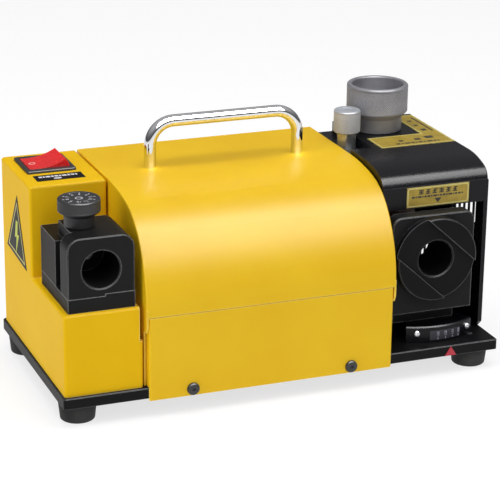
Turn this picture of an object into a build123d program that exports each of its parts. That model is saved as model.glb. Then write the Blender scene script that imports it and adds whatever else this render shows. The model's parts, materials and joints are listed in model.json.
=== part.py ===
from build123d import *
import os
from math import sin, cos, tan, sqrt, radians, pi

# Bench drill bit sharpener, millimetres, +Z up. The origin is on the floor plane, at the middle of
# the overall box in plan. +X runs from the switch box to the grinding housing, -Y faces the user.

# ---------------------------------------------------------------- overall sizes
base_width = 320.0            # base plate, left to right
base_depth = 157.0            # base plate, front to rear
base_thickness = 7.5
foot_height = 14.0
body_height = 122.5           # yellow housings above the base plate
rear_inset = 2.5              # housings' rear faces inside the plate's rear edge
side_inset = 1.5              # switch box inside the plate's left edge

# ---------------------------------------------------------------- sheet, fits and clearances
sheet = 1.2                   # cover and panel sheet
box_sheet = 1.5               # switch box sheet
cast_wall = 3.0               # grinding housing wall
running_fit = 0.05            # radial play of a turning or sliding fit
screw_play = 0.1              # radial play of a screw in its hole
moving_gap = 0.4              # between faces that pass each other
seam_gap = 0.5                # between neighbouring housings
bend_radius = 2.0             # outside radius of sheet metal bends

# ---------------------------------------------------------------- screws
small_head_r, small_head_h, small_shank_r = 4.35, 2.2, 2.0
small_length = 7.0
small_socket_r, fine_socket_r = 1.7, 0.9

# ---------------------------------------------------------------- feet
foot_top_r, foot_bottom_r, foot_edge_r = 13.25, 11.75, 1.5
foot_side_inset, foot_front_inset, foot_rear_inset = 14.0, 17.0, 14.0
foot_well_r, foot_well_depth = 5.2, 7.0

# ---------------------------------------------------------------- switch box
box_width = 54.4
box_upper_depth = 74.4        # upper part, front to rear
box_ledge_height = 57.3       # ledge above the base plate
box_front_inset = 2.5         # lower front face inside the plate's front edge
box_notch_width, box_notch_height, box_notch_depth = 2.4, 24.0, 18.0
box_gap = 1.2                 # between the switch box and the motor cover

# ---------------------------------------------------------------- rocker switch
switch_setback, switch_offset = 29.0, 23.8     # from the box's rear and left faces
bezel_length, bezel_depth, bezel_height = 35.0, 37.0, 2.0
bezel_edge_r = 0.8
switch_body_length, switch_body_depth, switch_body_height = 32.4, 33.0, 22.0
rocker_radius = 14.7          # end faces, about the pivot
rocker_depth = 27.0           # across the pivot
rocker_tilt = 12.0            # degrees either side of level
rocker_pivot_drop = 4.0       # pivot below the bezel's top face
rocker_crest = 4.9            # crown above the pivot at the rocker's middle
rocker_belly = 5.0            # underside below the pivot
rocker_pin_r = 1.5
terminal_size = (0.8, 6.3, 9.0)

# ---------------------------------------------------------------- power inlet
inlet_width, inlet_height, inlet_flange = 22.5, 48.0, 2.5
inlet_body_width, inlet_body_height, inlet_body_depth = 20.0, 28.0, 22.0
inlet_socket_width, inlet_socket_height, inlet_socket_depth = 16.0, 24.0, 17.0
inlet_pitch = 40.0
inlet_height_on_box = 42.0    # centre above the base plate
inlet_pin = (2.0, 4.0, 11.0)
inlet_pin_pitch, inlet_pin_stagger = 7.0, 3.0
inlet_screw_r, inlet_screw_head_r, inlet_screw_head_h = 1.5, 2.7, 1.2
inlet_sink_r, inlet_sink_depth = 2.9, 1.4

# ---------------------------------------------------------------- motor cover and front panel
housing_width = 81.5          # grinding housing, left to right
cover_curve_depth = 82.2      # from the flat top's front end to the cover's front face
cover_top_radius, cover_top_angle = 170.0, 13.0
cover_knee_radius, cover_knee_angle = 48.0, 50.0
panel_gap = 0.2               # panel face to the base plate's front edge
panel_top_height = 50.2       # seam above the base plate
panel_drop = 9.0              # panel below the base plate's top face
panel_ear_gap = 0.3
ear_height, ear_depth, ear_cut = 11.0, 9.0, 4.0
panel_screw_inset = 31.0      # screws from the panel's ends
shaft_slot_width = 40.0

# ---------------------------------------------------------------- carrying handle
handle_span = 110.0
handle_rod_r = 4.25
handle_bend_r = 17.0
handle_height = 32.2          # centre of the grip above the cover
handle_setback = 58.0
handle_tail = 9.0             # threaded tail below the cover sheet
handle_tail_r = handle_rod_r * 0.7
handle_nut_r, handle_nut_height = 5.5, 4.0

# ---------------------------------------------------------------- grinding housing
housing_rise = 2.5            # top face above the yellow housings
housing_front_setback = 129.0
housing_shoulder_depth = 31.0
shoulder_radius, shoulder_angle, shoulder_end_angle = 65.0, 22.0, 80.0
band_step, band_lip = 0.8, 0.3   # step from the shoulder to the band, and its height
band_bottom_height = 95.8     # underside of the front band above the base plate
wall_foot_chamfer = 4.5
housing_screw_setback = 62.0    # right-hand screw from the rear face
vent_width, vent_pitch, vent_count = 5.0, 7.2, 5
vent_wall, vent_margin = 1.0, 1.5    # the wall is thinned inside, this far round the slots
vent_heights = ((20.0, 40.0), (74.0, 92.0))    # lower and upper ends above the base plate
vent_setbacks = (59.5, 113.0)                  # front slot of each row from the rear face
recess_width, recess_depth, recess_length = 17.0, 7.5, 72.0    # step in the top for the relief knob

# ---------------------------------------------------------------- motor and wheel
wheel_taper = 31.0            # degrees between the grinding cone and the shaft
wheel_large_r, wheel_width = 42.3, 20.0
wheel_inset = 58.0            # wheel's large face from the housing's right-hand outside face
wheel_rim = 3.0               # cylindrical rim beside the cone
motor_setback = 63.0          # shaft from the housings' rear faces
shaft_height = 63.5           # shaft and seat bore above the base plate
shaft_r = 6.0
wheel_hub_r = 14.0
motor_r, motor_wall = 46.0, 3.0
motor_length = 92.0
bell_thickness = 10.0
core_length, core_inner_r, rotor_gap = 52.0, 27.0, 0.6
bearing_outer_r, bearing_width = 16.0, 9.0
fan_r, fan_width, fan_hub_r = 36.0, 10.0, 11.0
fan_blades, fan_gap = 9, 2.0
shaft_end = 2.0               # shaft beyond the fan and beyond the wheel nut
flange_width, nut_width, nut_r = 3.0, 6.0, 10.5
cradle_thickness, cradle_width, cradle_foot = 5.0, 84.0, 4.0
slot_count, slot_r, slot_depth = 12, 3.2, 7.0    # stator slots, their depth behind the bore
bell_hole_count, bell_hole_r, bell_hole_circle = 6, 6.0, 30.0
winding_reach = 10.0

# ---------------------------------------------------------------- top port
port_inset = 41.0             # port axis from the housing's right-hand outside face
port_setback = 27.0
chuck_r = 13.05               # wall radius of every chuck bore
sleeve_wall, tube_wall, ring_wall = 2.1, 1.75, 1.4
ring_total_height = 34.5
ring_collar_r, ring_collar_bore_r = 22.5, 18.75
ring_collar_height, ring_chamfer = 20.0, 4.0
tube_above, tube_below = 11.0, 9.0
tube_flange_r, tube_flange_height = 20.0, 3.5
sleeve_below = 18.0
sleeve_flange_height = 3.0
sleeve_drop = 1.5             # travel of the sleeve below its rest height

# ---------------------------------------------------------------- relief knob
relief_inset = 71.5           # axis from the housing's right-hand outside face
relief_setback = 42.0
relief_bush_r, relief_bush_height = 7.0, 11.0
relief_head_r, relief_head_height = 9.8, 17.0
relief_stem_r, relief_stem_below = 4.0, 24.0
relief_nut_r, relief_nut_height = 6.4, 9.0
guide_pin_r, guide_pin_offset = 1.5, 10.0

# ---------------------------------------------------------------- swivelling seat and cam disc
swivel_inset = 41.0           # swivel axis from the housing's right-hand outside face
swivel_front_inset = 64.4     # swivel axis from the plate's front edge
seat_axis_inset = 47.5        # chuck bore from the housing's right-hand outside face
seat_front_inset = 13.4       # seat's front face behind the plate's front edge
seat_width, seat_plate_thickness = 63.0, 10.0
seat_bottom_height, seat_top_clearance = 22.5, 1.6
seat_corner_r = 7.0
seat_boss_r, seat_boss_length = 20.0, 19.0
seat_foot_width, seat_foot_recess, seat_foot_depth = 47.0, 12.0, 19.0
sector_radius, sector_left_angle, sector_right_angle = 54.5, 26.0, 31.0
sector_thickness, sector_hub_r = 11.5, 14.0
pivot_r, pivot_head_r, pivot_head_height = 5.0, 8.0, 4.0
clamp_head_r, clamp_head_height, clamp_shank = 2.3, 1.8, 8.0
clamp_left_angle, clamp_right_angle = 18.0, 25.0
scale_height, scale_thickness = 7.0, 0.3
scale_start_angle, scale_end_angle = -8.0, 18.0
disc_r, disc_thickness, disc_step = 30.0, 4.5, 3.0
disc_band_half = 17.0         # half width of the lower diagonal band
disc_band_turn = 42.0         # degrees, slope of the band's edges
disc_spigot_r, disc_spigot_length = 16.0, 12.0
keeper_r, keeper_thickness = 19.0, 2.0

# ---------------------------------------------------------------- length setting block
block_width = 46.0
block_inset = 4.0             # block from the switch box's left face
block_front_inset = 5.6       # block's front face behind the plate's front edge
block_depth = 42.0
block_plate_depth = 16.0
block_base_height, block_seam_step = 9.8, 1.6
block_height = 51.1           # top above the ledge
block_corner_r = 9.0
block_groove_depth, block_groove_length = 6.5, 12.0
slab_depth, slab_height = 20.5, 41.7
block_bore_height = 28.4      # bore above the ledge
dial_offset, dial_setback = 16.5, 26.8   # dial axis from the block's left and front faces
dial_r, dial_height, dial_chamfer = 14.3, 11.6, 2.8
dial_neck_r, dial_neck_height = 10.25, 7.4
dial_stem_r, dial_stem_below = 3.0, 7.0
dial_cam_r, dial_cam_height = 5.5, 3.0
stop_rod_r, stop_rod_length = 3.0, 24.0
stop_head_r, stop_head_length = 5.0, 2.5
block_bore_floor = 6.0        # left behind the blind chuck bore

# ---------------------------------------------------------------- electrics inside the switch box
capacitor_r, capacitor_height, capacitor_setback = 15.0, 48.0, 34.0
clip_wall, clip_height, clip_floor = 1.5, 12.0, 2.0
terminal_block_size = (36.0, 16.0, 14.0)
terminal_block_setback = 60.0
terminal_count, terminal_pitch, terminal_row, terminal_hole_r = 4, 9.0, 3.5, 1.8

# ---------------------------------------------------------------- labels and pointer
label_thickness = 0.3
band_label_size, band_label_inset = (48.0, 14.5), (18.0, 1.0)    # from the band's left and lower ends
top_label_length, top_label_depth, top_label_arm = 58.0, 25.5, 15.5
top_label_inset, top_label_setback = 1.2, 50.0    # from the right edge; in front of the port axis
box_label_size, box_label_inset, box_label_setback = (34.0, 12.5), 8.5, 65.0
hazard_corners = ((12.5, 62.0), (41.6, 106.5), (63.0, 58.5))     # setback and height above the plate
pointer_inset, pointer_half = 37.0, 4.4           # from the plate's right edge

# ---------------------------------------------------------------- places worked out from the sizes
panel_proud = panel_gap + sheet + small_head_h
base_centre_y = panel_proud / 2
base_left = -base_width / 2
base_right = base_width / 2
base_front = base_centre_y - base_depth / 2
base_rear = base_centre_y + base_depth / 2
base_bottom = foot_height
base_top = foot_height + base_thickness
rear_y = base_rear - rear_inset
body_top = base_top + body_height

box_left = base_left + side_inset
box_right = box_left + box_width
box_front = base_front + box_front_inset
box_step_y = rear_y - box_upper_depth
ledge_z = base_top + box_ledge_height

housing_left = base_right - housing_width
cover_left = box_right + box_gap
cover_right = housing_left - seam_gap
cover_face = base_front - panel_gap - sheet
panel_left = cover_left + sheet + panel_ear_gap
panel_right = cover_right - sheet - panel_ear_gap
seam_z = base_top + panel_top_height
panel_screw_z = base_top - base_thickness * 0.55

housing_top = body_top + housing_rise
housing_front = rear_y - housing_front_setback
band_bottom = base_top + band_bottom_height

shaft_y = rear_y - motor_setback
shaft_z = base_top + shaft_height
wheel_left = base_right - wheel_inset
wheel_right = wheel_left + wheel_width

port_x, port_y = base_right - port_inset, rear_y - port_setback
relief_x, relief_y = base_right - relief_inset, rear_y - relief_setback
recess_z = housing_top - recess_depth
recess_right = housing_left + recess_width
swivel_x, swivel_y = base_right - swivel_inset, base_front + swivel_front_inset
seat_x, seat_face = base_right - seat_axis_inset, base_front + seat_front_inset
seat_bottom, seat_top = base_top + seat_bottom_height, band_bottom - seat_top_clearance

block_left = box_left + block_inset
block_right = block_left + block_width
block_face = base_front + block_front_inset
block_back = block_face + block_depth
block_top = ledge_z + block_height
block_bore_x, block_bore_z = block_left + block_width / 2, ledge_z + block_bore_height
dial_x, dial_y = block_left + dial_offset, block_face + dial_setback


# ---------------------------------------------------------------- shape helpers
def block(x0, x1, y0, y1, z0, z1):
    """A box between two corners."""
    return Pos((x0 + x1) / 2, (y0 + y1) / 2, (z0 + z1) / 2) * Box(x1 - x0, y1 - y0, z1 - z0)


def rod_z(x, y, z0, z1, r):
    """An upright cylinder."""
    return Pos(x, y, (z0 + z1) / 2) * Cylinder(r, z1 - z0)


def rod_x(x0, x1, y, z, r):
    """A cylinder along X."""
    return Pos((x0 + x1) / 2, y, z) * Rot(0, 90, 0) * Cylinder(r, x1 - x0)


def rod_y(x, y0, y1, z, r):
    """A cylinder along Y."""
    return Pos(x, (y0 + y1) / 2, z) * Rot(90, 0, 0) * Cylinder(r, y1 - y0)


def side_profile(points, x0, x1):
    """A closed outline of (y, z) points, carried from x0 to x1."""
    return extrude(Pos(x0, 0, 0) * make_face(Plane.YZ * Polyline(*points, close=True)), x1 - x0)


def turned(profile):
    """A solid of revolution about Z from (radius, z) points."""
    return revolve(make_face(Plane.XZ * Polyline(*profile, close=True)), Axis.Z)


def screw(head_r, head_h, shank_r, length, socket_r):
    """Button head screw standing on Z, its shank below the seat at z = 0."""
    head = Cylinder(head_r, head_h, align=(Align.CENTER, Align.CENTER, Align.MIN))
    head = fillet(head.edges().group_by(Axis.Z)[-1], head_h * 0.6)
    shank = Cylinder(shank_r, length, align=(Align.CENTER, Align.CENTER, Align.MAX))
    socket = Pos(0, 0, head_h * 0.45) * extrude(RegularPolygon(socket_r, 6), head_h)
    return head + shank - socket


def small_screw():
    return screw(small_head_r, small_head_h, small_shank_r, small_length, small_socket_r)


def group(solids):
    """Separate solids that share one node."""
    return Compound(children=list(solids))


# ---------------------------------------------------------------- base plate and feet
def foot_places():
    return [(x, y) for x in (base_left + foot_side_inset, base_right - foot_side_inset)
            for y in (base_front + foot_front_inset, base_rear - foot_rear_inset)]


def panel_screw_places():
    return [panel_left + panel_screw_inset, panel_right - panel_screw_inset]


def base_plate():
    plate = block(base_left, base_right, base_front, base_rear, base_bottom, base_top)
    plate = fillet(plate.edges().filter_by(Axis.Z), 2.0)
    plate = chamfer(plate.edges().group_by(Axis.Z)[-1], 0.6)
    hole = small_shank_r + screw_play
    for x, y in foot_places():
        plate -= rod_z(x, y, base_bottom - 1, base_top + 1, hole)
    for x in panel_screw_places():
        plate -= rod_y(x, base_front - 1, base_front + small_length, panel_screw_z, hole)
    plate -= rod_z(swivel_x, swivel_y, base_bottom - 1, base_top + 1, pivot_r * 0.7 + screw_play)
    return plate


def rubber_feet():
    feet = []
    for x, y in foot_places():
        foot = turned([(0, 0), (foot_bottom_r, 0), (foot_top_r, foot_height), (0, foot_height)])
        foot = fillet(foot.edges().group_by(Axis.Z)[0], foot_edge_r)
        foot -= rod_z(0, 0, -1, foot_well_depth, foot_well_r)
        foot -= rod_z(0, 0, -1, foot_height + 1, small_shank_r + screw_play)
        feet.append(Pos(x, y, 0) * foot)
    return group(feet)


def foot_screws():
    length = foot_height - foot_well_depth + base_thickness
    one = screw(small_head_r, small_head_h, small_shank_r, length, small_socket_r)
    return group(Pos(x, y, foot_well_depth) * Rot(180, 0, 0) * one for x, y in foot_places())


# ---------------------------------------------------------------- switch box
def box_outline(inset, bottom):
    return [(rear_y - inset, bottom), (rear_y - inset, body_top - inset),
            (box_step_y + inset, body_top - inset), (box_step_y + inset, ledge_z - inset),
            (box_front + inset, ledge_z - inset), (box_front + inset, bottom)]


switch_x, switch_y = box_left + switch_offset, rear_y - switch_setback
bezel_top = body_top + bezel_height
rocker_z = bezel_top - rocker_pivot_drop
pocket_half_length = rocker_radius + 0.3
pocket_half_depth = rocker_depth / 2 + 0.3
pocket_floor = rocker_z - rocker_radius - 0.6
inlet_x = (box_left + box_right) / 2
inlet_z = base_top + inlet_height_on_box


def switch_box():
    outer = side_profile(box_outline(0, base_top), box_left, box_right)
    soft = [e for e in outer.edges() if e.center().Z > base_top + 1
            and not (abs(e.center().Y - box_step_y) < 0.1 and abs(e.center().Z - ledge_z) < 0.1)]
    outer = fillet(soft, bend_radius)
    inner = side_profile(box_outline(box_sheet, base_top - 1),
                         box_left + box_sheet, box_right - box_sheet)
    shell = outer - inner
    half = switch_body_length / 2 + 0.2, switch_body_depth / 2 + 0.2
    shell -= block(switch_x - half[0], switch_x + half[0], switch_y - half[1], switch_y + half[1],
                   body_top - 10, body_top + 1)
    shell -= block(inlet_x - inlet_body_width / 2 - 0.2, inlet_x + inlet_body_width / 2 + 0.2,
                   rear_y - 5, rear_y + 1,
                   inlet_z - inlet_body_height / 2 - 0.2, inlet_z + inlet_body_height / 2 + 0.2)
    for dz in (-inlet_pitch / 2, inlet_pitch / 2):
        shell -= rod_y(inlet_x, rear_y - 5, rear_y + 1, inlet_z + dz, inlet_screw_r + screw_play)
    shell -= block(box_right - box_notch_width, box_right + 1, box_front - 1,
                   box_front + box_notch_depth, ledge_z - box_notch_height, ledge_z + 1)
    notch_wall = block(box_right - box_notch_width - box_sheet, box_right - box_notch_width,
                       box_front + box_sheet, box_front + box_notch_depth,
                       ledge_z - box_notch_height, ledge_z - box_sheet)
    shell += notch_wall
    for x, y in block_screw_places():
        shell -= rod_z(x, y, ledge_z - 5, ledge_z + 1, small_shank_r + screw_play)
    shell -= rod_x(box_right - 5, box_right + 1, shaft_y, shaft_z, 9.0)
    return shell


def switch_body():
    bezel = Pos(switch_x, switch_y, body_top + bezel_height / 2) * Box(bezel_length, bezel_depth,
                                                                        bezel_height)
    bezel = fillet(bezel.edges().filter_by(Axis.Z), 1.5)
    bezel = fillet(bezel.edges().group_by(Axis.Z)[-1], bezel_edge_r)
    body = block(switch_x - switch_body_length / 2, switch_x + switch_body_length / 2,
                 switch_y - switch_body_depth / 2, switch_y + switch_body_depth / 2,
                 body_top - switch_body_height, body_top + bezel_height / 2)
    pocket = block(switch_x - pocket_half_length, switch_x + pocket_half_length,
                   switch_y - pocket_half_depth, switch_y + pocket_half_depth,
                   pocket_floor, bezel_top + 1)
    pin = rod_y(switch_x, switch_y - switch_body_depth / 2 - 1, switch_y + switch_body_depth / 2 + 1,
                rocker_z, rocker_pin_r)
    return bezel + body - pocket - pin


def rocker_pin():
    return rod_y(switch_x, switch_y - switch_body_depth / 2, switch_y + switch_body_depth / 2,
                 rocker_z, rocker_pin_r)


def rocker():
    """Saddle-topped rocker, drawn level about its pivot and then tipped to its off position."""
    reach = rocker_radius
    tip = rocker_crest + reach * 0.85 * tan(radians(rocker_tilt))
    top = ThreePointArc((-reach, tip), (0, rocker_crest), (reach, tip))
    sides = Polyline((reach, tip), (reach, -rocker_belly), (-reach, -rocker_belly), (-reach, tip))
    saddle = extrude(make_face(Plane.XZ * (top + sides)), rocker_depth / 2, both=True)
    saddle = saddle & (Rot(90, 0, 0) * Cylinder(rocker_radius, rocker_depth))
    saddle -= Rot(90, 0, 0) * Cylinder(rocker_pin_r + running_fit, rocker_depth + 2)
    return Pos(switch_x, switch_y, rocker_z) * Rot(0, -rocker_tilt, 0) * saddle


def switch_terminals():
    w, d, h = terminal_size
    top = body_top - switch_body_height
    return group(block(switch_x + dx - w / 2, switch_x + dx + w / 2, switch_y + dy - d / 2,
                       switch_y + dy + d / 2, top - h, top)
                 for dx in (-8.0, 8.0) for dy in (-7.0, 7.0))


# ---------------------------------------------------------------- power inlet
def power_inlet():
    flange = block(inlet_x - inlet_width / 2, inlet_x + inlet_width / 2, rear_y,
                   rear_y + inlet_flange, inlet_z - inlet_height / 2, inlet_z + inlet_height / 2)
    flange = fillet(flange.edges().filter_by(Axis.Y), 4.0)
    body = block(inlet_x - inlet_body_width / 2, inlet_x + inlet_body_width / 2,
                 rear_y - inlet_body_depth, rear_y + inlet_flange / 2,
                 inlet_z - inlet_body_height / 2, inlet_z + inlet_body_height / 2)
    back = rear_y + inlet_flange - inlet_socket_depth
    socket = block(inlet_x - inlet_socket_width / 2, inlet_x + inlet_socket_width / 2, back,
                   rear_y + inlet_flange + 1,
                   inlet_z - inlet_socket_height / 2, inlet_z + inlet_socket_height / 2)
    inlet = flange + body - socket
    for dz in (-inlet_pitch / 2, inlet_pitch / 2):
        inlet -= rod_y(inlet_x, rear_y - 1, rear_y + inlet_flange + 1, inlet_z + dz,
                       inlet_screw_r + screw_play)
        inlet -= rod_y(inlet_x, rear_y + inlet_flange - inlet_sink_depth,
                       rear_y + inlet_flange + 1, inlet_z + dz, inlet_sink_r)
    return inlet


def inlet_pins():
    w, h, length = inlet_pin
    back = rear_y + inlet_flange - inlet_socket_depth
    return group(block(inlet_x + dx - w / 2, inlet_x + dx + w / 2, back, back + length,
                       inlet_z + dz - h / 2, inlet_z + dz + h / 2)
                 for dx, dz in ((-inlet_pin_stagger, -inlet_pin_pitch), (inlet_pin_stagger, 0),
                                (-inlet_pin_stagger, inlet_pin_pitch)))


def inlet_screws():
    one = screw(inlet_screw_head_r, inlet_screw_head_h, inlet_screw_r, 6.0, fine_socket_r)
    return group(Pos(inlet_x, rear_y + inlet_flange - inlet_sink_depth, inlet_z + dz)
                 * Rot(-90, 0, 0) * one
                 for dz in (-inlet_pitch / 2, inlet_pitch / 2))


# ---------------------------------------------------------------- motor cover, panel and handle
def arc_point(centre, r, angle):
    """Point on a circle, the angle measured from straight up towards the front."""
    a = radians(angle)
    return (centre[0] - r * sin(a), centre[1] + r * cos(a))


def cover_outline(inset, bottom, front_bottom):
    """Flat top, three tangent arcs down the front and a plain rear skirt."""
    flat_y = cover_face + cover_curve_depth
    top_centre = (flat_y, body_top - cover_top_radius)
    knee_centre = arc_point(top_centre, cover_top_radius - cover_knee_radius, cover_top_angle)
    knee_end = arc_point(knee_centre, cover_knee_radius, cover_knee_angle)
    front_radius = (knee_end[0] - cover_face) / (1 - sin(radians(cover_knee_angle)))
    front_centre = arc_point(knee_centre, cover_knee_radius - front_radius, cover_knee_angle)
    start = (flat_y, body_top - inset)
    spans = [(top_centre, cover_top_radius, 0, cover_top_angle),
             (knee_centre, cover_knee_radius, cover_top_angle, cover_knee_angle),
             (front_centre, front_radius, cover_knee_angle, 90)]
    edges = [ThreePointArc(arc_point(c, r - inset, a0), arc_point(c, r - inset, (a0 + a1) / 2),
                           arc_point(c, r - inset, a1)) for c, r, a0, a1 in spans]
    end = arc_point(front_centre, front_radius - inset, 90)
    rest = Polyline(end, (end[0], front_bottom), (base_front + 4, front_bottom),
                    (base_front + 4, bottom), (rear_y - inset, bottom),
                    (rear_y - inset, body_top - inset), start)
    return make_face(Plane.YZ * (Curve() + edges + rest))


def handle_places():
    middle = (cover_left + cover_right) / 2
    return [middle - handle_span / 2, middle + handle_span / 2]


def motor_cover():
    handle_y = rear_y - handle_setback
    outer = extrude(Pos(cover_left, 0, 0) * cover_outline(0, base_top, seam_z),
                    cover_right - cover_left)
    ends = [e for e in outer.edges() if e.center().Z > seam_z + 1
            and abs(e.center().X - (cover_left + cover_right) / 2) > 10
            and e.center().Z > base_top + 60 and e.center().Y < rear_y - 1]
    outer = fillet(ends, sheet * 0.8)
    inner = extrude(Pos(cover_left + sheet, 0, 0) * cover_outline(sheet, base_top - 1, seam_z - 1),
                    cover_right - cover_left - 2 * sheet)
    shell = outer - inner
    front = base_front + 5
    shell -= block(cover_left - 1, cover_right + 1, cover_face - 1, front, base_top - 1, seam_z)
    for x0 in (cover_left, cover_right - sheet):
        ear = side_profile([(cover_face, seam_z + 5), (cover_face, seam_z - ear_height + ear_cut),
                            (cover_face + ear_cut / 2, seam_z - ear_height),
                            (cover_face + ear_depth, seam_z - ear_height),
                            (cover_face + ear_depth, seam_z + 5)], x0, x0 + sheet)
        shell += ear
    shell -= block(cover_right - sheet - 1, cover_right + 1, shaft_y - shaft_slot_width / 2,
                   shaft_y + shaft_slot_width / 2, base_top - 1, shaft_z)
    shell -= rod_x(cover_right - sheet - 1, cover_right + 1, shaft_y, shaft_z, shaft_slot_width / 2)
    shell -= rod_x(cover_left - 1, cover_left + sheet + 1, shaft_y, shaft_z, 9.0)
    for x in handle_places():
        shell -= rod_z(x, handle_y, body_top - 5, body_top + 1, handle_tail_r + screw_play)
    return shell


def front_panel():
    bottom = base_top - panel_drop
    top = seam_z - 0.4
    depth = ear_depth + 5
    outer = block(panel_left, panel_right, cover_face, cover_face + depth, bottom, top)
    outer = fillet([e for e in outer.edges().filter_by(Axis.Z) if e.center().Y < cover_face + 1],
                   bend_radius)
    panel = outer - block(panel_left + sheet, panel_right - sheet, cover_face + sheet,
                          cover_face + depth + 1, bottom - 1, top + 1)
    panel -= block(panel_left - 1, panel_right + 1, cover_face + sheet, cover_face + depth + 1,
                   bottom - 1, base_top + 0.3)
    for x in panel_screw_places():
        panel -= rod_y(x, cover_face - 1, cover_face + sheet + 1, panel_screw_z,
                       small_shank_r + screw_play)
    return panel


def panel_screws():
    return group(Pos(x, cover_face, panel_screw_z) * Rot(90, 0, 0) * small_screw()
                 for x in panel_screw_places())


def carry_handle():
    """Bent rod with reduced threaded tails that pass through the cover."""
    y = rear_y - handle_setback
    x0, x1 = handle_places()
    top = body_top + handle_height
    path = FilletPolyline((x0, y, body_top), (x0, y, top), (x1, y, top), (x1, y, body_top),
                          radius=handle_bend_r)
    rod = sweep(Plane(origin=(x0, y, body_top), z_dir=(0, 0, 1)) * Circle(handle_rod_r), path=path)
    for x in (x0, x1):
        rod += rod_z(x, y, body_top - handle_tail, body_top + 1, handle_tail_r)
    return rod


def handle_nuts():
    y = rear_y - handle_setback
    top = body_top - sheet
    nut = extrude(RegularPolygon(handle_nut_r, 6), handle_nut_height)
    nut -= Cylinder(handle_tail_r, 4 * handle_nut_height)
    return group(Pos(x, y, top - handle_nut_height) * nut for x in handle_places())


# ---------------------------------------------------------------- grinding housing
def housing_outline(inset, bottom):
    """Flat top, shoulder of two tangent arcs, a shallow step and the front band."""
    start_y = housing_front + band_step + housing_shoulder_depth
    small_r = (housing_shoulder_depth - shoulder_radius * sin(radians(shoulder_angle))) / (
        sin(radians(shoulder_end_angle)) - sin(radians(shoulder_angle)))
    c0 = (start_y, housing_top - shoulder_radius)
    c1 = arc_point(c0, shoulder_radius - small_r, shoulder_angle)
    spans = [(c0, shoulder_radius, 0, shoulder_angle), (c1, small_r, shoulder_angle,
                                                        shoulder_end_angle)]
    edges = [ThreePointArc(arc_point(c, r - inset, a0), arc_point(c, r - inset, (a0 + a1) / 2),
                           arc_point(c, r - inset, a1)) for c, r, a0, a1 in spans]
    end = arc_point(c1, small_r - inset, shoulder_end_angle)
    rest = Polyline(end, (housing_front + inset, end[1] - band_lip), (housing_front + inset, bottom),
                    (rear_y - inset, bottom), (rear_y - inset, housing_top - inset),
                    (start_y, housing_top - inset))
    return make_face(Plane.YZ * (Curve() + edges + rest))


def grinding_housing():
    outer = extrude(Pos(housing_left, 0, 0) * housing_outline(0, base_top), housing_width)
    round_edges = [e for e in outer.edges() if abs(e.center().X - base_right) < 0.1
                   and e.center().Z > band_bottom + 5 and e.center().Y < rear_y - 1]
    outer = fillet(round_edges, 1.0)
    inner = extrude(Pos(housing_left + cast_wall, 0, 0)
                    * housing_outline(cast_wall, base_top - 1), housing_width - 2 * cast_wall)
    shell = outer - inner
    shell -= block(housing_left + cast_wall, base_right - cast_wall, housing_front - 1,
                   housing_front + cast_wall + 1, base_top - 1, band_bottom)
    shell -= block(housing_left - 1, housing_left + cast_wall + 1, housing_front - 1,
                   housing_front + 24, base_top - 1, band_bottom)
    foot_cut = side_profile([(housing_front - 1, base_top - 1),
                             (housing_front + wall_foot_chamfer + 1, base_top - 1),
                             (housing_front - 1, base_top + wall_foot_chamfer + 1)],
                            base_right - cast_wall - 1, base_right + 1)
    shell -= foot_cut
    shell -= rod_z(port_x, port_y, housing_top - 10, housing_top + 1, tube_outer_r + screw_play)
    shell += block(housing_left, recess_right + cast_wall, rear_y - recess_length - cast_wall,
                   rear_y, recess_z - cast_wall, housing_top - 1)
    shell -= block(housing_left - 1, recess_right, rear_y - recess_length, rear_y + 1, recess_z,
                   housing_top + 1)
    shell -= rod_z(relief_x, relief_y, recess_z - 10, recess_z + 1,
                   relief_bush_r - 1.5 + screw_play)
    shell -= rod_z(relief_x, relief_y + guide_pin_offset, recess_z - cast_wall - 1,
                   recess_z - cast_wall + 1.5, guide_pin_r)
    shell -= rod_x(housing_left - 1, housing_left + cast_wall + 1, shaft_y, shaft_z, shaft_r + 6)
    for (low, high), setback in zip(vent_heights, vent_setbacks):
        front = rear_y - setback - vent_width / 2 - vent_margin
        rear = front + (vent_count - 1) * vent_pitch + vent_width + 2 * vent_margin
        shell -= block(base_right - cast_wall - 1, base_right - vent_wall, front, rear,
                       base_top + low - vent_margin, base_top + high + vent_margin)
        for i in range(vent_count):
            y = rear_y - setback + i * vent_pitch
            shell -= block(base_right - cast_wall - 1, base_right + 1, y - vent_width / 2,
                           y + vent_width / 2, base_top + low, base_top + high)
    for x, y in housing_screw_places():
        post = block(x - 5, x + 5, y - 5, y + 5, base_top, base_top + 12)
        shell += post - rod_z(x, y, base_top - 1, base_top + 10, small_shank_r + screw_play)
    return shell


def housing_screw_places():
    return [(housing_left + cast_wall + 5, rear_y - cast_wall - 5),
            (base_right - cast_wall - 5, rear_y - housing_screw_setback)]


def housing_screws():
    one = screw(small_head_r, small_head_h, small_shank_r, base_thickness + 8, small_socket_r)
    return group(Pos(x, y, base_bottom) * Rot(180, 0, 0) * one for x, y in housing_screw_places())


# ---------------------------------------------------------------- top port
sleeve_r = chuck_r + sleeve_wall
tube_bore_r = sleeve_r + running_fit
tube_outer_r = tube_bore_r + tube_wall
ring_bore_r = tube_outer_r + running_fit
ring_outer_r = ring_bore_r + ring_wall
ring_bottom = housing_top + moving_gap
ring_top = housing_top + ring_total_height
ring_floor = housing_top + tube_above + moving_gap
sleeve_flange_z = ring_floor + sleeve_drop + moving_gap


def port_tube():
    tube = rod_z(port_x, port_y, housing_top - cast_wall - tube_below, housing_top + tube_above,
                 tube_outer_r)
    tube += rod_z(port_x, port_y, housing_top - cast_wall - tube_flange_height,
                  housing_top - cast_wall, tube_flange_r)
    return tube - rod_z(port_x, port_y, housing_top - 60, ring_top, tube_bore_r)


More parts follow.
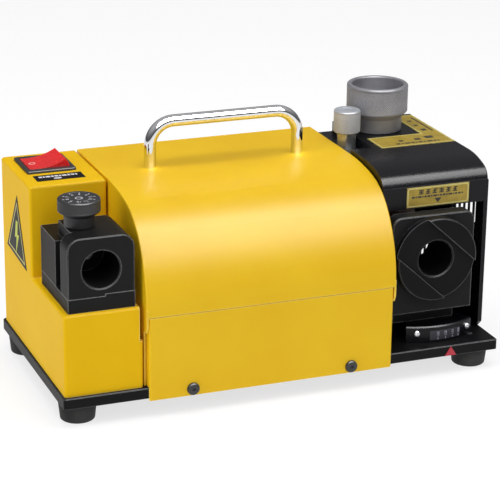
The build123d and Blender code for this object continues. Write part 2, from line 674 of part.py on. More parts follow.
def port_sleeve():
    bottom = housing_top - sleeve_below
    top = sleeve_flange_z + sleeve_flange_height
    sleeve = rod_z(port_x, port_y, bottom, top, sleeve_r)
    sleeve += rod_z(port_x, port_y, sleeve_flange_z, top, ring_collar_bore_r - moving_gap)
    return sleeve - rod_z(port_x, port_y, bottom - 1, top + 1, chuck_r)


def port_ring():
    neck_top = ring_top - ring_collar_height - ring_chamfer
    rim = 1.2
    profile = [(ring_bore_r, ring_bottom), (ring_outer_r, ring_bottom), (ring_outer_r, neck_top),
               (ring_collar_r, neck_top + ring_chamfer), (ring_collar_r, ring_top - rim),
               (ring_collar_r - rim, ring_top), (ring_collar_bore_r + rim, ring_top),
               (ring_collar_bore_r, ring_top - rim), (ring_collar_bore_r, ring_floor),
               (ring_bore_r, ring_floor)]
    return Pos(port_x, port_y, 0) * turned(profile)


# ---------------------------------------------------------------- relief knob
def relief_bush():
    bush = rod_z(relief_x, relief_y, recess_z, recess_z + relief_bush_height, relief_bush_r)
    bush += rod_z(relief_x, relief_y, recess_z - cast_wall - 4, recess_z,
                  relief_bush_r - 1.5)
    return bush - rod_z(relief_x, relief_y, recess_z - 20, recess_z + 20,
                        relief_stem_r + running_fit)


def relief_knob():
    bottom = recess_z + relief_bush_height + moving_gap
    top = bottom + relief_head_height
    profile = [(0, bottom), (relief_head_r - 1.2, bottom), (relief_head_r, bottom + 1.2),
               (relief_head_r, top - 0.8), (relief_head_r - 0.8, top), (5.2, top),
               (5.2, top - 0.8), (0, top - 0.8)]
    knob = Pos(relief_x, relief_y, 0) * turned(profile)
    return knob + rod_z(relief_x, relief_y, recess_z - cast_wall - relief_stem_below,
                        bottom + 1, relief_stem_r)


relief_nut_z = recess_z - cast_wall - 18.0


def relief_nut():
    nut = rod_z(relief_x, relief_y, relief_nut_z - relief_nut_height / 2,
                relief_nut_z + relief_nut_height / 2, relief_nut_r)
    lug = block(relief_x - 3.5, relief_x + 3.5, relief_y, relief_y + guide_pin_offset + 3.5,
                relief_nut_z - relief_nut_height / 2, relief_nut_z + relief_nut_height / 2)
    nut = nut + lug - rod_z(relief_x, relief_y, relief_nut_z - 20, relief_nut_z + 20,
                            relief_stem_r + running_fit)
    return nut - rod_z(relief_x, relief_y + guide_pin_offset, relief_nut_z - 20,
                       relief_nut_z + 20, guide_pin_r + running_fit)


def guide_pin():
    return rod_z(relief_x, relief_y + guide_pin_offset,
                 recess_z - cast_wall - relief_stem_below - 2, recess_z - cast_wall + 1.5,
                 guide_pin_r)


# ---------------------------------------------------------------- swivelling seat
sector_bottom = base_top + moving_gap
sector_top = sector_bottom + sector_thickness


def sector_point(angle, radius, z=0.0):
    """Point in front of the swivel axis, the angle opening towards the right."""
    a = radians(angle)
    return (swivel_x + radius * sin(a), swivel_y - radius * cos(a), z)


def seat_sector():
    reach = sector_radius * 1.6
    fan = Polyline((swivel_x, swivel_y), sector_point(-sector_left_angle, reach)[:2],
                   sector_point(sector_right_angle, reach)[:2], close=True)
    wedge = Pos(0, 0, sector_bottom) * extrude(make_face(fan), sector_thickness)
    sector = wedge & rod_z(swivel_x, swivel_y, sector_bottom, sector_top, sector_radius)
    sector = chamfer([e for e in sector.edges().group_by(Axis.Z)[-1]
                      if e.geom_type == GeomType.CIRCLE], 0.8)
    sector += rod_z(swivel_x, swivel_y, sector_bottom, sector_top, sector_hub_r)
    sector -= rod_z(swivel_x, swivel_y, base_top - 1, sector_top + 1, pivot_r + running_fit)
    for angle in (-clamp_left_angle, clamp_right_angle):
        sector -= clamp_place(angle) * Cylinder(small_shank_r * 0.7 + screw_play, 2 * clamp_shank)
    return sector


def clamp_place(angle):
    x, y, z = sector_point(angle, sector_radius, (sector_bottom + sector_top) / 2)
    return Pos(x, y, z + 1.0) * Rot(0, 0, angle) * Rot(90, 0, 0)


def clamp_screws():
    one = screw(clamp_head_r, clamp_head_height, small_shank_r * 0.7, clamp_shank - 1, fine_socket_r)
    return group(clamp_place(angle) * one for angle in (-clamp_left_angle, clamp_right_angle))


def scale_strip():
    """Thin curved strip on the sector's front face."""
    z0 = sector_bottom + 1.2
    ring = rod_z(swivel_x, swivel_y, z0, z0 + scale_height, sector_radius + scale_thickness)
    ring -= rod_z(swivel_x, swivel_y, z0 - 1, z0 + scale_height + 1, sector_radius)
    reach = sector_radius * 1.6
    fan = Polyline((swivel_x, swivel_y), sector_point(scale_start_angle, reach)[:2],
                   sector_point(scale_end_angle, reach)[:2], close=True)
    return ring & (Pos(0, 0, z0) * extrude(make_face(fan), scale_height))


def seat_block():
    plate = block(seat_x - seat_width / 2, seat_x + seat_width / 2, seat_face,
                  seat_face + seat_plate_thickness, seat_bottom, seat_top)
    plate = fillet([e for e in plate.edges().filter_by(Axis.Y) if e.center().Z > seat_bottom + 5],
                   seat_corner_r)
    plate = chamfer(plate.edges().group_by(Axis.Y)[0], 0.7)
    boss = rod_y(seat_x, seat_face + seat_plate_thickness - 1,
                 seat_face + seat_plate_thickness + seat_boss_length, shaft_z, seat_boss_r)
    foot = block(seat_x - seat_foot_width / 2, seat_x + seat_foot_width / 2,
                 seat_face + seat_foot_recess, seat_face + seat_foot_recess + seat_foot_depth,
                 sector_top, seat_bottom + 3)
    rib = block(seat_x - 8, seat_x + 8, seat_face + seat_plate_thickness - 1,
                seat_face + seat_plate_thickness + seat_boss_length, seat_bottom, shaft_z)
    seat = plate + boss + foot + rib
    seat -= rod_y(seat_x, seat_face - 1, seat_face + 80, shaft_z, disc_spigot_r + running_fit)
    return seat


def swivel_pin():
    """Shouldered pivot screwed into the plate; its head holds the sector down."""
    pin = rod_z(swivel_x, swivel_y, base_top, sector_top + moving_gap, pivot_r)
    pin += rod_z(swivel_x, swivel_y, base_bottom, base_top, pivot_r * 0.7)
    z = sector_top + moving_gap
    head = rod_z(swivel_x, swivel_y, z, z + pivot_head_height, pivot_head_r)
    head -= Pos(swivel_x, swivel_y, z + 1.5) * extrude(RegularPolygon(4, 6), pivot_head_height)
    return pin + head


disc_back = seat_face - moving_gap
disc_face = disc_back - disc_thickness
spigot_end = seat_face + disc_spigot_length


def cam_disc():
    """Round plate with two raised segments either side of a diagonal band, and a rear spigot."""
    plate = rod_y(seat_x, disc_face, disc_back, shaft_z, disc_r)
    raised = rod_y(seat_x, disc_face - disc_step, disc_face, shaft_z, disc_r)
    raised = chamfer(raised.edges().group_by(Axis.Y)[0], 0.6)
    long = 2 * disc_r
    band = Pos(seat_x, disc_face - disc_step / 2, shaft_z) * Rot(0, disc_band_turn, 0) * Box(
        2 * long, disc_step + 1, 2 * disc_band_half)
    disc = plate + (raised - band)
    disc += rod_y(seat_x, disc_back - 1, spigot_end, shaft_z, disc_spigot_r)
    disc += rod_y(seat_x, spigot_end - 1, keeper_groove_end, shaft_z, keeper_groove_r)
    disc -= rod_y(seat_x, disc_face - 10, seat_face + 80, shaft_z, chuck_r)
    rim = [e for e in disc.edges() if e.geom_type == GeomType.CIRCLE
           and abs(e.radius - chuck_r) < 0.01 and e.center().Y < disc_face + 0.1]
    return chamfer(rim, 0.8)


keeper_groove_r = chuck_r + 1.7
keeper_groove_end = seat_face + seat_plate_thickness + seat_boss_length + keeper_thickness + 2.4


def keeper_ring():
    """Ring on the spigot's end that keeps the disc in the seat."""
    y0 = seat_face + seat_plate_thickness + seat_boss_length + moving_gap
    ring = rod_y(seat_x, y0, y0 + keeper_thickness, shaft_z, keeper_r)
    return ring - rod_y(seat_x, y0 - 1, y0 + keeper_thickness + 1, shaft_z, keeper_groove_r)


# ---------------------------------------------------------------- motor, shaft and wheel
motor_middle = (cover_left + cover_right) / 2
motor_left = motor_middle - motor_length / 2
motor_right = motor_middle + motor_length / 2
left_bearing = motor_left - bell_thickness + 1.0
right_bearing = motor_right + bell_thickness - 1.0 - bearing_width


def ring_x(x0, x1, r_out, r_in):
    return rod_x(x0, x1, shaft_y, shaft_z, r_out) - rod_x(x0 - 1, x1 + 1, shaft_y, shaft_z, r_in)


def motor_shell():
    return ring_x(motor_left, motor_right, motor_r, motor_r - motor_wall)


def stator_core():
    core = ring_x(motor_middle - core_length / 2, motor_middle + core_length / 2,
                  motor_r - motor_wall, core_inner_r)
    circle = core_inner_r + slot_depth
    for i in range(slot_count):
        a = 2 * pi * i / slot_count
        core -= rod_x(motor_middle - core_length / 2 - 1, motor_middle + core_length / 2 + 1,
                      shaft_y + circle * cos(a), shaft_z + circle * sin(a), slot_r)
    return core


def stator_windings():
    starts = (motor_middle - core_length / 2 - winding_reach, motor_middle + core_length / 2)
    return group(ring_x(x0, x0 + winding_reach, core_inner_r + 11, core_inner_r + 2)
                 for x0 in starts)


def end_bell(x0, bearing_x):
    bell = ring_x(x0, x0 + bell_thickness, motor_r, shaft_r + 2)
    bell -= rod_x(bearing_x, bearing_x + bearing_width, shaft_y, shaft_z, bearing_outer_r)
    for i in range(bell_hole_count):
        a = 2 * pi * (i + 0.5) / bell_hole_count
        bell -= rod_x(x0 - 1, x0 + bell_thickness + 1, shaft_y + bell_hole_circle * cos(a),
                      shaft_z + bell_hole_circle * sin(a), bell_hole_r)
    return bell


def bearings():
    return group(ring_x(x, x + bearing_width, bearing_outer_r, shaft_r + running_fit)
                 for x in (left_bearing, right_bearing))


def motor_cradle():
    """Two saddles on a foot plate under the motor."""
    y0, y1 = shaft_y - cradle_width / 2, shaft_y + cradle_width / 2
    cradle = block(motor_left + 6, motor_right - 6, y0, y1, base_top, base_top + cradle_foot)
    for x in (motor_left + 10, motor_right - 10 - cradle_thickness):
        cradle += block(x, x + cradle_thickness, y0, y1, base_top, shaft_z - 14)
    return cradle - rod_x(motor_left - 5, motor_right + 5, shaft_y, shaft_z, motor_r)


def cradle_screws():
    one = screw(small_head_r, small_head_h, small_shank_r, 9.0, small_socket_r)
    places = [(x, y) for x in (motor_left + 22, motor_right - 22)
              for y in (shaft_y - cradle_width / 2 + 6, shaft_y + cradle_width / 2 - 6)]
    return places, group(Pos(x, y, base_top + cradle_foot) * one for x, y in places)


def fan():
    x0 = left_bearing - fan_gap - fan_width
    wheel = ring_x(x0, x0 + fan_width, fan_hub_r, shaft_r)
    wheel += ring_x(x0 + fan_width - 1.5, x0 + fan_width, fan_r, shaft_r)
    for i in range(fan_blades):
        blade = Pos(x0 + fan_width / 2, 0, 0) * block(-fan_width / 2, fan_width / 2, 0, fan_r - 1,
                                                      -0.8, 0.8)
        wheel += Pos(0, shaft_y, shaft_z) * Rot(360 * i / fan_blades, 0, 0) * blade - rod_x(
            x0 - 1, x0 + fan_width + 1, shaft_y, shaft_z, shaft_r)
    return wheel


def rotor_core():
    return ring_x(motor_middle - core_length / 2, motor_middle + core_length / 2,
                  core_inner_r - rotor_gap, shaft_r)


def motor_shaft():
    left = left_bearing - fan_gap - fan_width - shaft_end
    right = wheel_right + flange_width + nut_width + shaft_end
    return rod_x(left, right, shaft_y, shaft_z, shaft_r)


def wheel_flanges():
    return group([ring_x(wheel_left - flange_width, wheel_left, wheel_hub_r, shaft_r),
                  ring_x(wheel_right, wheel_right + flange_width, wheel_hub_r, shaft_r)])


def wheel_nut():
    x = wheel_right + flange_width
    nut = Pos(x, shaft_y, shaft_z) * Rot(0, 90, 0) * extrude(RegularPolygon(nut_r, 6), nut_width)
    return nut - rod_x(x - 1, x + nut_width + 1, shaft_y, shaft_z, shaft_r)


def grinding_wheel():
    """Tapered wheel, its grinding cone falling away from the motor."""
    small_r = wheel_large_r - (wheel_width - wheel_rim) * tan(radians(wheel_taper))
    profile = [(shaft_r, 0), (wheel_large_r, 0), (wheel_large_r, wheel_rim), (small_r, wheel_width),
               (shaft_r, wheel_width)]
    wheel = Rot(0, 90, 0) * turned(profile)
    return Pos(wheel_left, shaft_y, shaft_z) * wheel


# ---------------------------------------------------------------- electrics inside the switch box
def capacitor_place():
    return box_left + box_width / 2, box_front + capacitor_setback


def capacitor():
    x, y = capacitor_place()
    foot = base_top + clip_floor
    can = rod_z(x, y, foot, foot + capacitor_height, capacitor_r)
    return fillet(can.edges().group_by(Axis.Z)[-1], 1.5)


def capacitor_clip():
    x, y = capacitor_place()
    clip = rod_z(x, y, base_top, base_top + clip_height, capacitor_r + clip_wall)
    return clip - rod_z(x, y, base_top + clip_floor, base_top + clip_height + 1, capacitor_r)


def terminal_block():
    x, y = box_left + box_width / 2, rear_y - terminal_block_setback
    length, depth, height = terminal_block_size
    body = block(x - length / 2, x + length / 2, y - depth / 2, y + depth / 2,
                 base_top, base_top + height)
    first = x - terminal_pitch * (terminal_count - 1) / 2
    for i in range(terminal_count):
        for dy in (-terminal_row, terminal_row):
            body -= rod_z(first + terminal_pitch * i, y + dy, base_top + height * 0.4,
                          base_top + height + 1, terminal_hole_r)
    return body


# ---------------------------------------------------------------- length setting block
def block_screw_places():
    return [(x, block_face + 8 + dy) for x in (block_left + 7, block_right - 7)
            for dy in (0, block_depth - 16)]


block_rear = block_back + slab_depth
block_seam = ledge_z + block_base_height
groove_left = block_left + block_groove_depth


def setting_base():
    """Foot of the block: a plate with a shallow step across its front."""
    plate = block(block_left, block_right, block_face, block_back, ledge_z, block_seam)
    plate += block(block_left + block_width * 0.56, block_right, block_face, block_back,
                   ledge_z, block_seam + block_seam_step)
    plate += block(block_left, block_left + block_width * 0.6, block_back - 1, block_rear,
                   ledge_z, block_seam)
    for x, y in block_screw_places():
        plate -= rod_z(x, y, ledge_z - 1, ledge_z + 6, small_shank_r + screw_play)
    return plate


def setting_block():
    """Bored block with rounded front corners and a groove down its left side."""
    front = block(block_left, block_right, block_face, block_face + block_plate_depth,
                  block_seam, block_top)
    front = fillet([e for e in front.edges().filter_by(Axis.Y) if e.center().Z > block_seam + 5],
                   block_corner_r)
    front = chamfer([e for e in front.edges().group_by(Axis.Y)[0]
                     if e.center().Z > block_seam + 1], 0.6)
    rest = block(groove_left, block_right, block_face + block_plate_depth - 1, block_back,
                 block_seam, block_top)
    rest = fillet([e for e in rest.edges().filter_by(Axis.Y)
                   if e.center().Z > block_seam + 5 and e.center().X > block_bore_x],
                  block_corner_r)
    body = front + rest
    body -= block(block_left + block_width * 0.56 - 0.15, block_right + 1, block_face - 1,
                  block_back + 1, block_seam - 1, block_seam + block_seam_step + 0.01)
    body -= rod_y(block_bore_x, block_face - 1, block_back - block_bore_floor, block_bore_z, chuck_r)
    body -= rod_y(block_bore_x, block_face, block_back - block_bore_floor + stop_head_length
                  + moving_gap, block_bore_z, stop_head_r + moving_gap)
    body -= rod_y(block_bore_x, block_face - 1, block_back + 1, block_bore_z,
                  stop_rod_r + running_fit)
    body -= rod_z(dial_x, dial_y, block_bore_z, block_top + 1, dial_stem_r + running_fit)
    body -= rod_z(dial_x, dial_y, block_bore_z, block_top - dial_stem_below + dial_cam_height
                  + moving_gap, dial_cam_r + moving_gap)
    rim = [e for e in body.edges() if e.geom_type == GeomType.CIRCLE
           and abs(e.radius - chuck_r) < 0.01 and e.center().Y < block_face + 0.1]
    return chamfer(rim, 0.7)


def setting_slab():
    """Lower slab beside and behind the bored block that guides the stop rod."""
    slab = block(block_left, groove_left, block_face + block_plate_depth + block_groove_length,
                 block_back, block_seam, ledge_z + slab_height)
    slab += block(block_left, block_left + block_width * 0.6, block_back, block_rear,
                  block_seam, ledge_z + slab_height)
    return slab - rod_y(block_bore_x, block_back - 1, block_rear + 1, block_bore_z,
                        stop_rod_r + moving_gap)


def block_screws():
    one = screw(small_head_r, small_head_h, small_shank_r, 6.0, small_socket_r)
    return group(Pos(x, y, ledge_z - box_sheet) * Rot(180, 0, 0) * one
                 for x, y in block_screw_places())


def length_dial():
    """Knurled dial on a plain neck; its stem carries a small cam in the block."""
    z0 = block_top + moving_gap
    head_z = z0 + dial_neck_height
    top = head_z + dial_height
    profile = [(0, z0), (dial_neck_r, z0), (dial_neck_r, head_z),
               (dial_r, head_z + dial_chamfer), (dial_r, top - 0.8), (dial_r - 0.8, top),
               (dial_r - 2.2, top), (dial_r - 2.8, top - 0.5), (0, top - 0.5)]
    dial = Pos(dial_x, dial_y, 0) * turned(profile)
    cam_z = block_top - dial_stem_below
    dial += rod_z(dial_x, dial_y, cam_z, z0 + 1, dial_stem_r)
    return dial + rod_z(dial_x, dial_y, cam_z, cam_z + dial_cam_height, dial_cam_r)


def stop_rod():
    """Rod that meets the drill's tip; the dial sets how far it reaches into the bore."""
    start = block_back - block_bore_floor
    rod = rod_y(block_bore_x, start, start + stop_rod_length, block_bore_z, stop_rod_r)
    rod += rod_y(block_bore_x, start, start + stop_head_length, block_bore_z, stop_head_r)
    return rod


# ---------------------------------------------------------------- labels
def band_label():
    x0, z0 = housing_left + band_label_inset[0], band_bottom + band_label_inset[1]
    return block(x0, x0 + band_label_size[0], housing_front - label_thickness, housing_front,
                 z0, z0 + band_label_size[1])


def top_label():
    """L-shaped label beside the top port."""
    right, front = base_right - top_label_inset, port_y - top_label_setback
    strip = block(right - top_label_length, right, front, front + top_label_depth, housing_top,
                  housing_top + label_thickness)
    arm = block(right - top_label_arm, right, front, rear_y - 4.0, housing_top,
                housing_top + label_thickness)
    return strip + arm


def box_label():
    x0, y0 = box_left + box_label_inset, rear_y - box_label_setback
    return block(x0, x0 + box_label_size[0], y0, y0 + box_label_size[1], body_top,
                 body_top + label_thickness)


def hazard_label():
    """Triangular plate on the switch box's left face."""
    corners = [(rear_y - setback, base_top + height) for setback, height in hazard_corners]
    return side_profile(corners, box_left - label_thickness, box_left)


def angle_pointer():
    """Small triangle on the plate's front edge that the seat's scale is read against."""
    x = base_right - pointer_inset
    outline = Polyline((x - pointer_half, base_bottom + 0.2), (x + pointer_half, base_bottom + 0.2),
                       (x, base_top - 0.6), close=True)
    return Pos(0, base_front, 0) * extrude(make_face(Plane.XZ * outline), label_thickness)


# ---------------------------------------------------------------- write every node
def nodes():
    cradle_holes, cradle_fasteners = cradle_screws()
    cradle, plate = motor_cradle(), base_plate()
    for x, y in cradle_holes:
        hole = rod_z(x, y, base_top - 5, base_top + 5, small_shank_r + screw_play)
        cradle, plate = cradle - hole, plate - hole
    for x, y in housing_screw_places():
        plate -= rod_z(x, y, base_bottom - 1, base_top + 1, small_shank_r + screw_play)
    return {
        "base_plate": plate, "rubber_feet": rubber_feet(), "foot_screws": foot_screws(),
        "switch_box": switch_box(), "switch_body": switch_body(), "rocker_pin": rocker_pin(),
        "rocker": rocker(), "switch_terminals": switch_terminals(),
        "power_inlet": power_inlet(), "inlet_pins": inlet_pins(), "inlet_screws": inlet_screws(),
        "motor_cover": motor_cover(), "front_panel": front_panel(), "panel_screws": panel_screws(),
        "carry_handle": carry_handle(), "handle_nuts": handle_nuts(),
        "grinding_housing": grinding_housing(), "housing_screws": housing_screws(),
        "port_tube": port_tube(), "port_sleeve": port_sleeve(), "port_ring": port_ring(),
        "relief_bush": relief_bush(), "relief_knob": relief_knob(), "relief_nut": relief_nut(),
        "guide_pin": guide_pin(),
        "seat_sector": seat_sector(), "seat_block": seat_block(), "scale_strip": scale_strip(),
        "clamp_screws": clamp_screws(), "swivel_pin": swivel_pin(),
        "cam_disc": cam_disc(), "keeper_ring": keeper_ring(),
        "motor_shell": motor_shell(), "stator_core": stator_core(),
        "stator_windings": stator_windings(),
        "left_end_bell": end_bell(motor_left - bell_thickness, left_bearing),
        "right_end_bell": end_bell(motor_right, right_bearing),
        "bearings": bearings(), "motor_cradle": cradle, "cradle_screws": cradle_fasteners,
        "fan": fan(), "rotor_core": rotor_core(), "motor_shaft": motor_shaft(),
        "wheel_flanges": wheel_flanges(), "grinding_wheel": grinding_wheel(),
        "wheel_nut": wheel_nut(),
        "capacitor": capacitor(), "capacitor_clip": capacitor_clip(),
        "terminal_block": terminal_block(),
        "setting_base": setting_base(), "setting_block": setting_block(),
        "setting_slab": setting_slab(), "block_screws": block_screws(),
        "length_dial": length_dial(), "stop_rod": stop_rod(),
        "band_label": band_label(), "top_label": top_label(), "box_label": box_label(),
        "hazard_label": hazard_label(), "angle_pointer": angle_pointer(),
    }


os.makedirs("parts", exist_ok=True)
for name, shape in nodes().items():
    export_step(shape, f"parts/{name}.step")
    print(name, len(shape.solids()), round(shape.volume))
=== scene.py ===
# %% [markdown]
# # A bench sharpener for twist drills
# The machine is a folded and cast steel body on a black base plate. Its working shapes come from the CAD
# frame, which is loaded first and never moved. What Blender adds is the skin: knurling that is really cut
# into the knobs, the printed marks, the numerals, and a finish for every part, inside and out.

# %% Load the frame
import json
import math
import bmesh
import bpy
import numpy as np
from mathutils import Matrix, Vector

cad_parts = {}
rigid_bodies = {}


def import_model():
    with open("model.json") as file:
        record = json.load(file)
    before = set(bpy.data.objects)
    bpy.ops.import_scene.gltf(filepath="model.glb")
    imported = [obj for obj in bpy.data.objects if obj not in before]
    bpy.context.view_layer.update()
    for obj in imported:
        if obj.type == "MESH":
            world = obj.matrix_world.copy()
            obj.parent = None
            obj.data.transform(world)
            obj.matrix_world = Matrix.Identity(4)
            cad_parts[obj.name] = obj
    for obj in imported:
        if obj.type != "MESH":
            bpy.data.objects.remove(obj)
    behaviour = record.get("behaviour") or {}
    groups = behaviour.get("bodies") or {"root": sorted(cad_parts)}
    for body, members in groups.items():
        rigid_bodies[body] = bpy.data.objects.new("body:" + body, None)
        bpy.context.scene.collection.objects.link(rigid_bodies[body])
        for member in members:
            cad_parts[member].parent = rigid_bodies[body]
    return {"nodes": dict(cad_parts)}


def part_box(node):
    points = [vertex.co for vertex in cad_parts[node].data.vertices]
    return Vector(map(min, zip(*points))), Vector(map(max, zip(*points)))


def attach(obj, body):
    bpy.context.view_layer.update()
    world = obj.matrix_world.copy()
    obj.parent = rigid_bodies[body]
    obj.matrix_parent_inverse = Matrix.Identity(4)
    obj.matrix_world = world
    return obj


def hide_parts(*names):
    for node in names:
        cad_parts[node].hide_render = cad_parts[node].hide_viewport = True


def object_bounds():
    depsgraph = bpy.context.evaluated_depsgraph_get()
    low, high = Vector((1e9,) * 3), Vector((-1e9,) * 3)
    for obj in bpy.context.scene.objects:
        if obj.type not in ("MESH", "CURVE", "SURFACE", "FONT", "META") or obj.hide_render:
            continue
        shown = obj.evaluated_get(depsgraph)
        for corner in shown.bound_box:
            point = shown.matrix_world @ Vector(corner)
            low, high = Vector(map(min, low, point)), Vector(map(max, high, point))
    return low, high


for left_over in list(bpy.data.objects):
    bpy.data.objects.remove(left_over)
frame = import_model()
cad_low, cad_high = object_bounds()
MM = 0.001
print("CAD box in mm:", [round(v / MM, 1) for v in (*cad_low, *cad_high)])

# %% [markdown]
# ## Camera, floor and light
# A long lens from the front left, a little above the machine, keeps upright edges almost upright. The
# floor is a pale sheet much larger than the machine, so it fills the picture without a horizon. Painted
# sheet metal shows its form only through soft light: one wide panel overhead gives the tops their level,
# one at the left and one in front give the two visible sides theirs, and the low sky stays dim, so that
# polished steel has something dark to mirror. Two more panels above the front only make highlights: the
# curve of the cover and the shoulder of the housing show their shape by them.

# %% A long lens from the front left
CAMERA_PLACE = Vector((-0.49914, -1.26911, 0.56462))
CAMERA_RIGHT = Vector((0.93202, -0.36222, 0.01171))
CAMERA_UP = Vector((0.11062, 0.31512, 0.94258))
LENS_MM = 147.3

camera = bpy.data.objects.new("camera", bpy.data.cameras.new("camera"))
bpy.context.scene.collection.objects.link(camera)
camera.data.lens = LENS_MM
camera.data.sensor_width = 36.0
camera_back = CAMERA_RIGHT.cross(CAMERA_UP)
turn = Matrix((CAMERA_RIGHT, CAMERA_UP, camera_back)).transposed()
camera.matrix_world = Matrix.Translation(CAMERA_PLACE) @ turn.to_4x4()
bpy.context.scene.camera = camera
bpy.context.scene.view_settings.view_transform = "Standard"
print("camera", [round(v, 3) for v in CAMERA_PLACE], "lens", LENS_MM, "mm")


# %% Nodes and colours
def linear(code):
    """An sRGB hex colour as linear RGBA: each part is divided by 12.92 near black, and above that
    ((part + 0.055) / 1.055) to the power 2.4."""
    parts = np.array([int(code[i:i + 2], 16) for i in (1, 3, 5)]) / 255
    low, high = parts / 12.92, ((parts + 0.055) / 1.055) ** 2.4
    return (*np.where(parts <= 0.04045, low, high), 1.0)


def add(tree, kind, settings=None, inputs=None):
    """One node. settings are its own values; inputs are its sockets, each a value or a socket to link."""
    made = tree.nodes.new(kind)
    for name, value in (settings or {}).items():
        setattr(made, name, value)
    for name, value in (inputs or {}).items():
        if isinstance(value, bpy.types.NodeSocket):
            tree.links.new(value, made.inputs[name])
        else:
            made.inputs[name].default_value = value
    return made


# %% Floor and sky
FLOOR_HALF = 12.0
floor_mesh = bpy.data.meshes.new("floor")
corners = FLOOR_HALF * np.array([(-1, -1, 0), (1, -1, 0), (1, 1, 0), (-1, 1, 0)], float)
floor_mesh.from_pydata(corners.tolist(), [], [(0, 1, 2, 3)])
floor = bpy.data.objects.new("floor", floor_mesh)
bpy.context.scene.collection.objects.link(floor)

paper = bpy.data.materials.new("pale_paper_floor")
paper.use_nodes = True
paper_shader = paper.node_tree.nodes["Principled BSDF"]
paper_shader.inputs["Base Color"].default_value = linear("#9a9a9a")
paper_shader.inputs["Roughness"].default_value = 0.9
paper_shader.inputs["Specular IOR Level"].default_value = 0.1
paper_shader.inputs["Emission Color"].default_value = linear("#ffffff")
paper_shader.inputs["Emission Strength"].default_value = 0.72
floor_mesh.materials.append(paper)

sky = bpy.data.worlds.new("studio_sky")
bpy.context.scene.world = sky
sky.use_nodes = True
sky_nodes = sky.node_tree
sky_place = add(sky_nodes, "ShaderNodeTexCoord")
sky_split = add(sky_nodes, "ShaderNodeSeparateXYZ", inputs={0: sky_place.outputs["Generated"]})
SKY_LOW, SKY_HIGH = 0.1, 0.5
sky_level = add(sky_nodes, "ShaderNodeMapRange", {"interpolation_type": "SMOOTHSTEP"},
                {"Value": sky_split.outputs["Z"], "From Min": 0.05, "From Max": 0.75,
                 "To Min": SKY_LOW, "To Max": SKY_HIGH})
sky_nodes.links.new(sky_level.outputs[0], sky_nodes.nodes["Background"].inputs["Strength"])
sky_nodes.nodes["Background"].inputs["Color"].default_value = linear("#fdfdff")
print("floor", 2 * FLOOR_HALF, "m wide, sky from", SKY_LOW, "to", SKY_HIGH)

# %% Soft panels of light
MIDDLE = Vector((0.0, 0.0, 0.08))


def light_panel(name, place, wide, high, watts, mirrored=True, spreads=True, aim=MIDDLE):
    """A rectangular soft light at place, turned to look at aim. Where it isn't mirrored it leaves no
    highlight, and where it doesn't spread it leaves nothing else."""
    lamp = bpy.data.lights.new(name, "AREA")
    lamp.shape = "RECTANGLE"
    lamp.size, lamp.size_y, lamp.energy = wide, high, watts
    made = bpy.data.objects.new(name, lamp)
    bpy.context.scene.collection.objects.link(made)
    facing = (Vector(place) - aim).to_track_quat("Z", "Y").to_matrix().to_4x4()
    made.matrix_world = Matrix.Translation(place) @ facing
    made.visible_glossy = mirrored
    made.visible_diffuse = spreads
    print(name, wide, "x", high, "m,", watts, "W")


light_panel("overhead_panel", (0.0, -0.25, 1.7), 1.6, 1.0, 16.0, mirrored=False)
light_panel("left_panel", (-1.7, -0.5, 0.75), 1.0, 1.2, 8.5, mirrored=False)
light_panel("front_panel_light", (0.35, -1.9, 1.35), 1.4, 0.7, 2.6, mirrored=False)
light_panel("curve_highlight", (0.2, -1.5, 1.45), 2.4, 0.8, 95.0, spreads=False)
light_panel("crown_highlight", (0.1, -0.75, 1.75), 2.2, 0.8, 110.0, spreads=False)


# %% [markdown]
# ## Finishes
# A finish is a small node tree that reads Object coordinates, so it stays on its part when the part moves.
# Every finish has a slow drift of colour and a fine grain that the bump and the roughness share. Most also
# have
# a painted highlight: a lighter line along each sharp edge, standing in for the light an edge catches. The
# line
# comes from a Bevel node: the normal it gives differs from the true one only within a fraction of a
# millimetre of an edge.

# %% The tree that the finishes share
def scale_of(size_mm):
    """Pattern scale for features of this size: patterns repeat once per unit, and a unit is a metre."""
    return 1.0 / (size_mm * MM)


def start_finish(name, metallic=0.0, coat=0.0, specular=0.5):
    """An empty finish: the material, its tree, its shader and its Object coordinates."""
    made = bpy.data.materials.new(name)
    made.use_nodes = True
    tree = made.node_tree
    shader = tree.nodes["Principled BSDF"]
    shader.inputs["Metallic"].default_value = metallic
    shader.inputs["Coat Weight"].default_value = coat
    shader.inputs["Coat Roughness"].default_value = 0.12
    if not metallic:
        shader.inputs["Specular IOR Level"].default_value = specular
    return made, tree, shader, add(tree, "ShaderNodeTexCoord").outputs["Object"]


def noise(tree, place, size_mm, detail=3.0):
    """Soft random value, about 0.3 to 0.7, whose blobs are size_mm across."""
    return add(tree, "ShaderNodeTexNoise", inputs={
        "Vector": place, "Scale": scale_of(size_mm), "Detail": detail}).outputs["Fac"]


def spread(tree, value, low, high, start=0.3, end=0.7):
    """value, from start to end, becomes low to high."""
    return add(tree, "ShaderNodeMapRange", inputs={
        "Value": value, "From Min": start, "From Max": end, "To Min": low, "To Max": high}).outputs[0]


def mix(tree, share, first, second):
    """A colour between first and second; each is a hex code or a socket."""
    pair = [linear(c) if isinstance(c, str) else c for c in (first, second)]
    return add(tree, "ShaderNodeMix", {"data_type": "RGBA"}, {0: share, 6: pair[0], 7: pair[1]}).outputs[2]


def edge_highlight_share(tree, reach_mm):
    """1 on a sharp edge, 0 away from it: one less the dot product of the true and the rounded normal. It
    masks the painted edge highlight.
    """
    rounded = add(tree, "ShaderNodeBevel", {"samples": 4}, {"Radius": reach_mm * MM}).outputs[0]
    true = add(tree, "ShaderNodeNewGeometry").outputs["Normal"]
    same = add(tree, "ShaderNodeVectorMath", {"operation": "DOT_PRODUCT"}, {0: rounded, 1: true})
    return spread(tree, same.outputs["Value"], 1.0, 0.0, 0.86, 0.985)


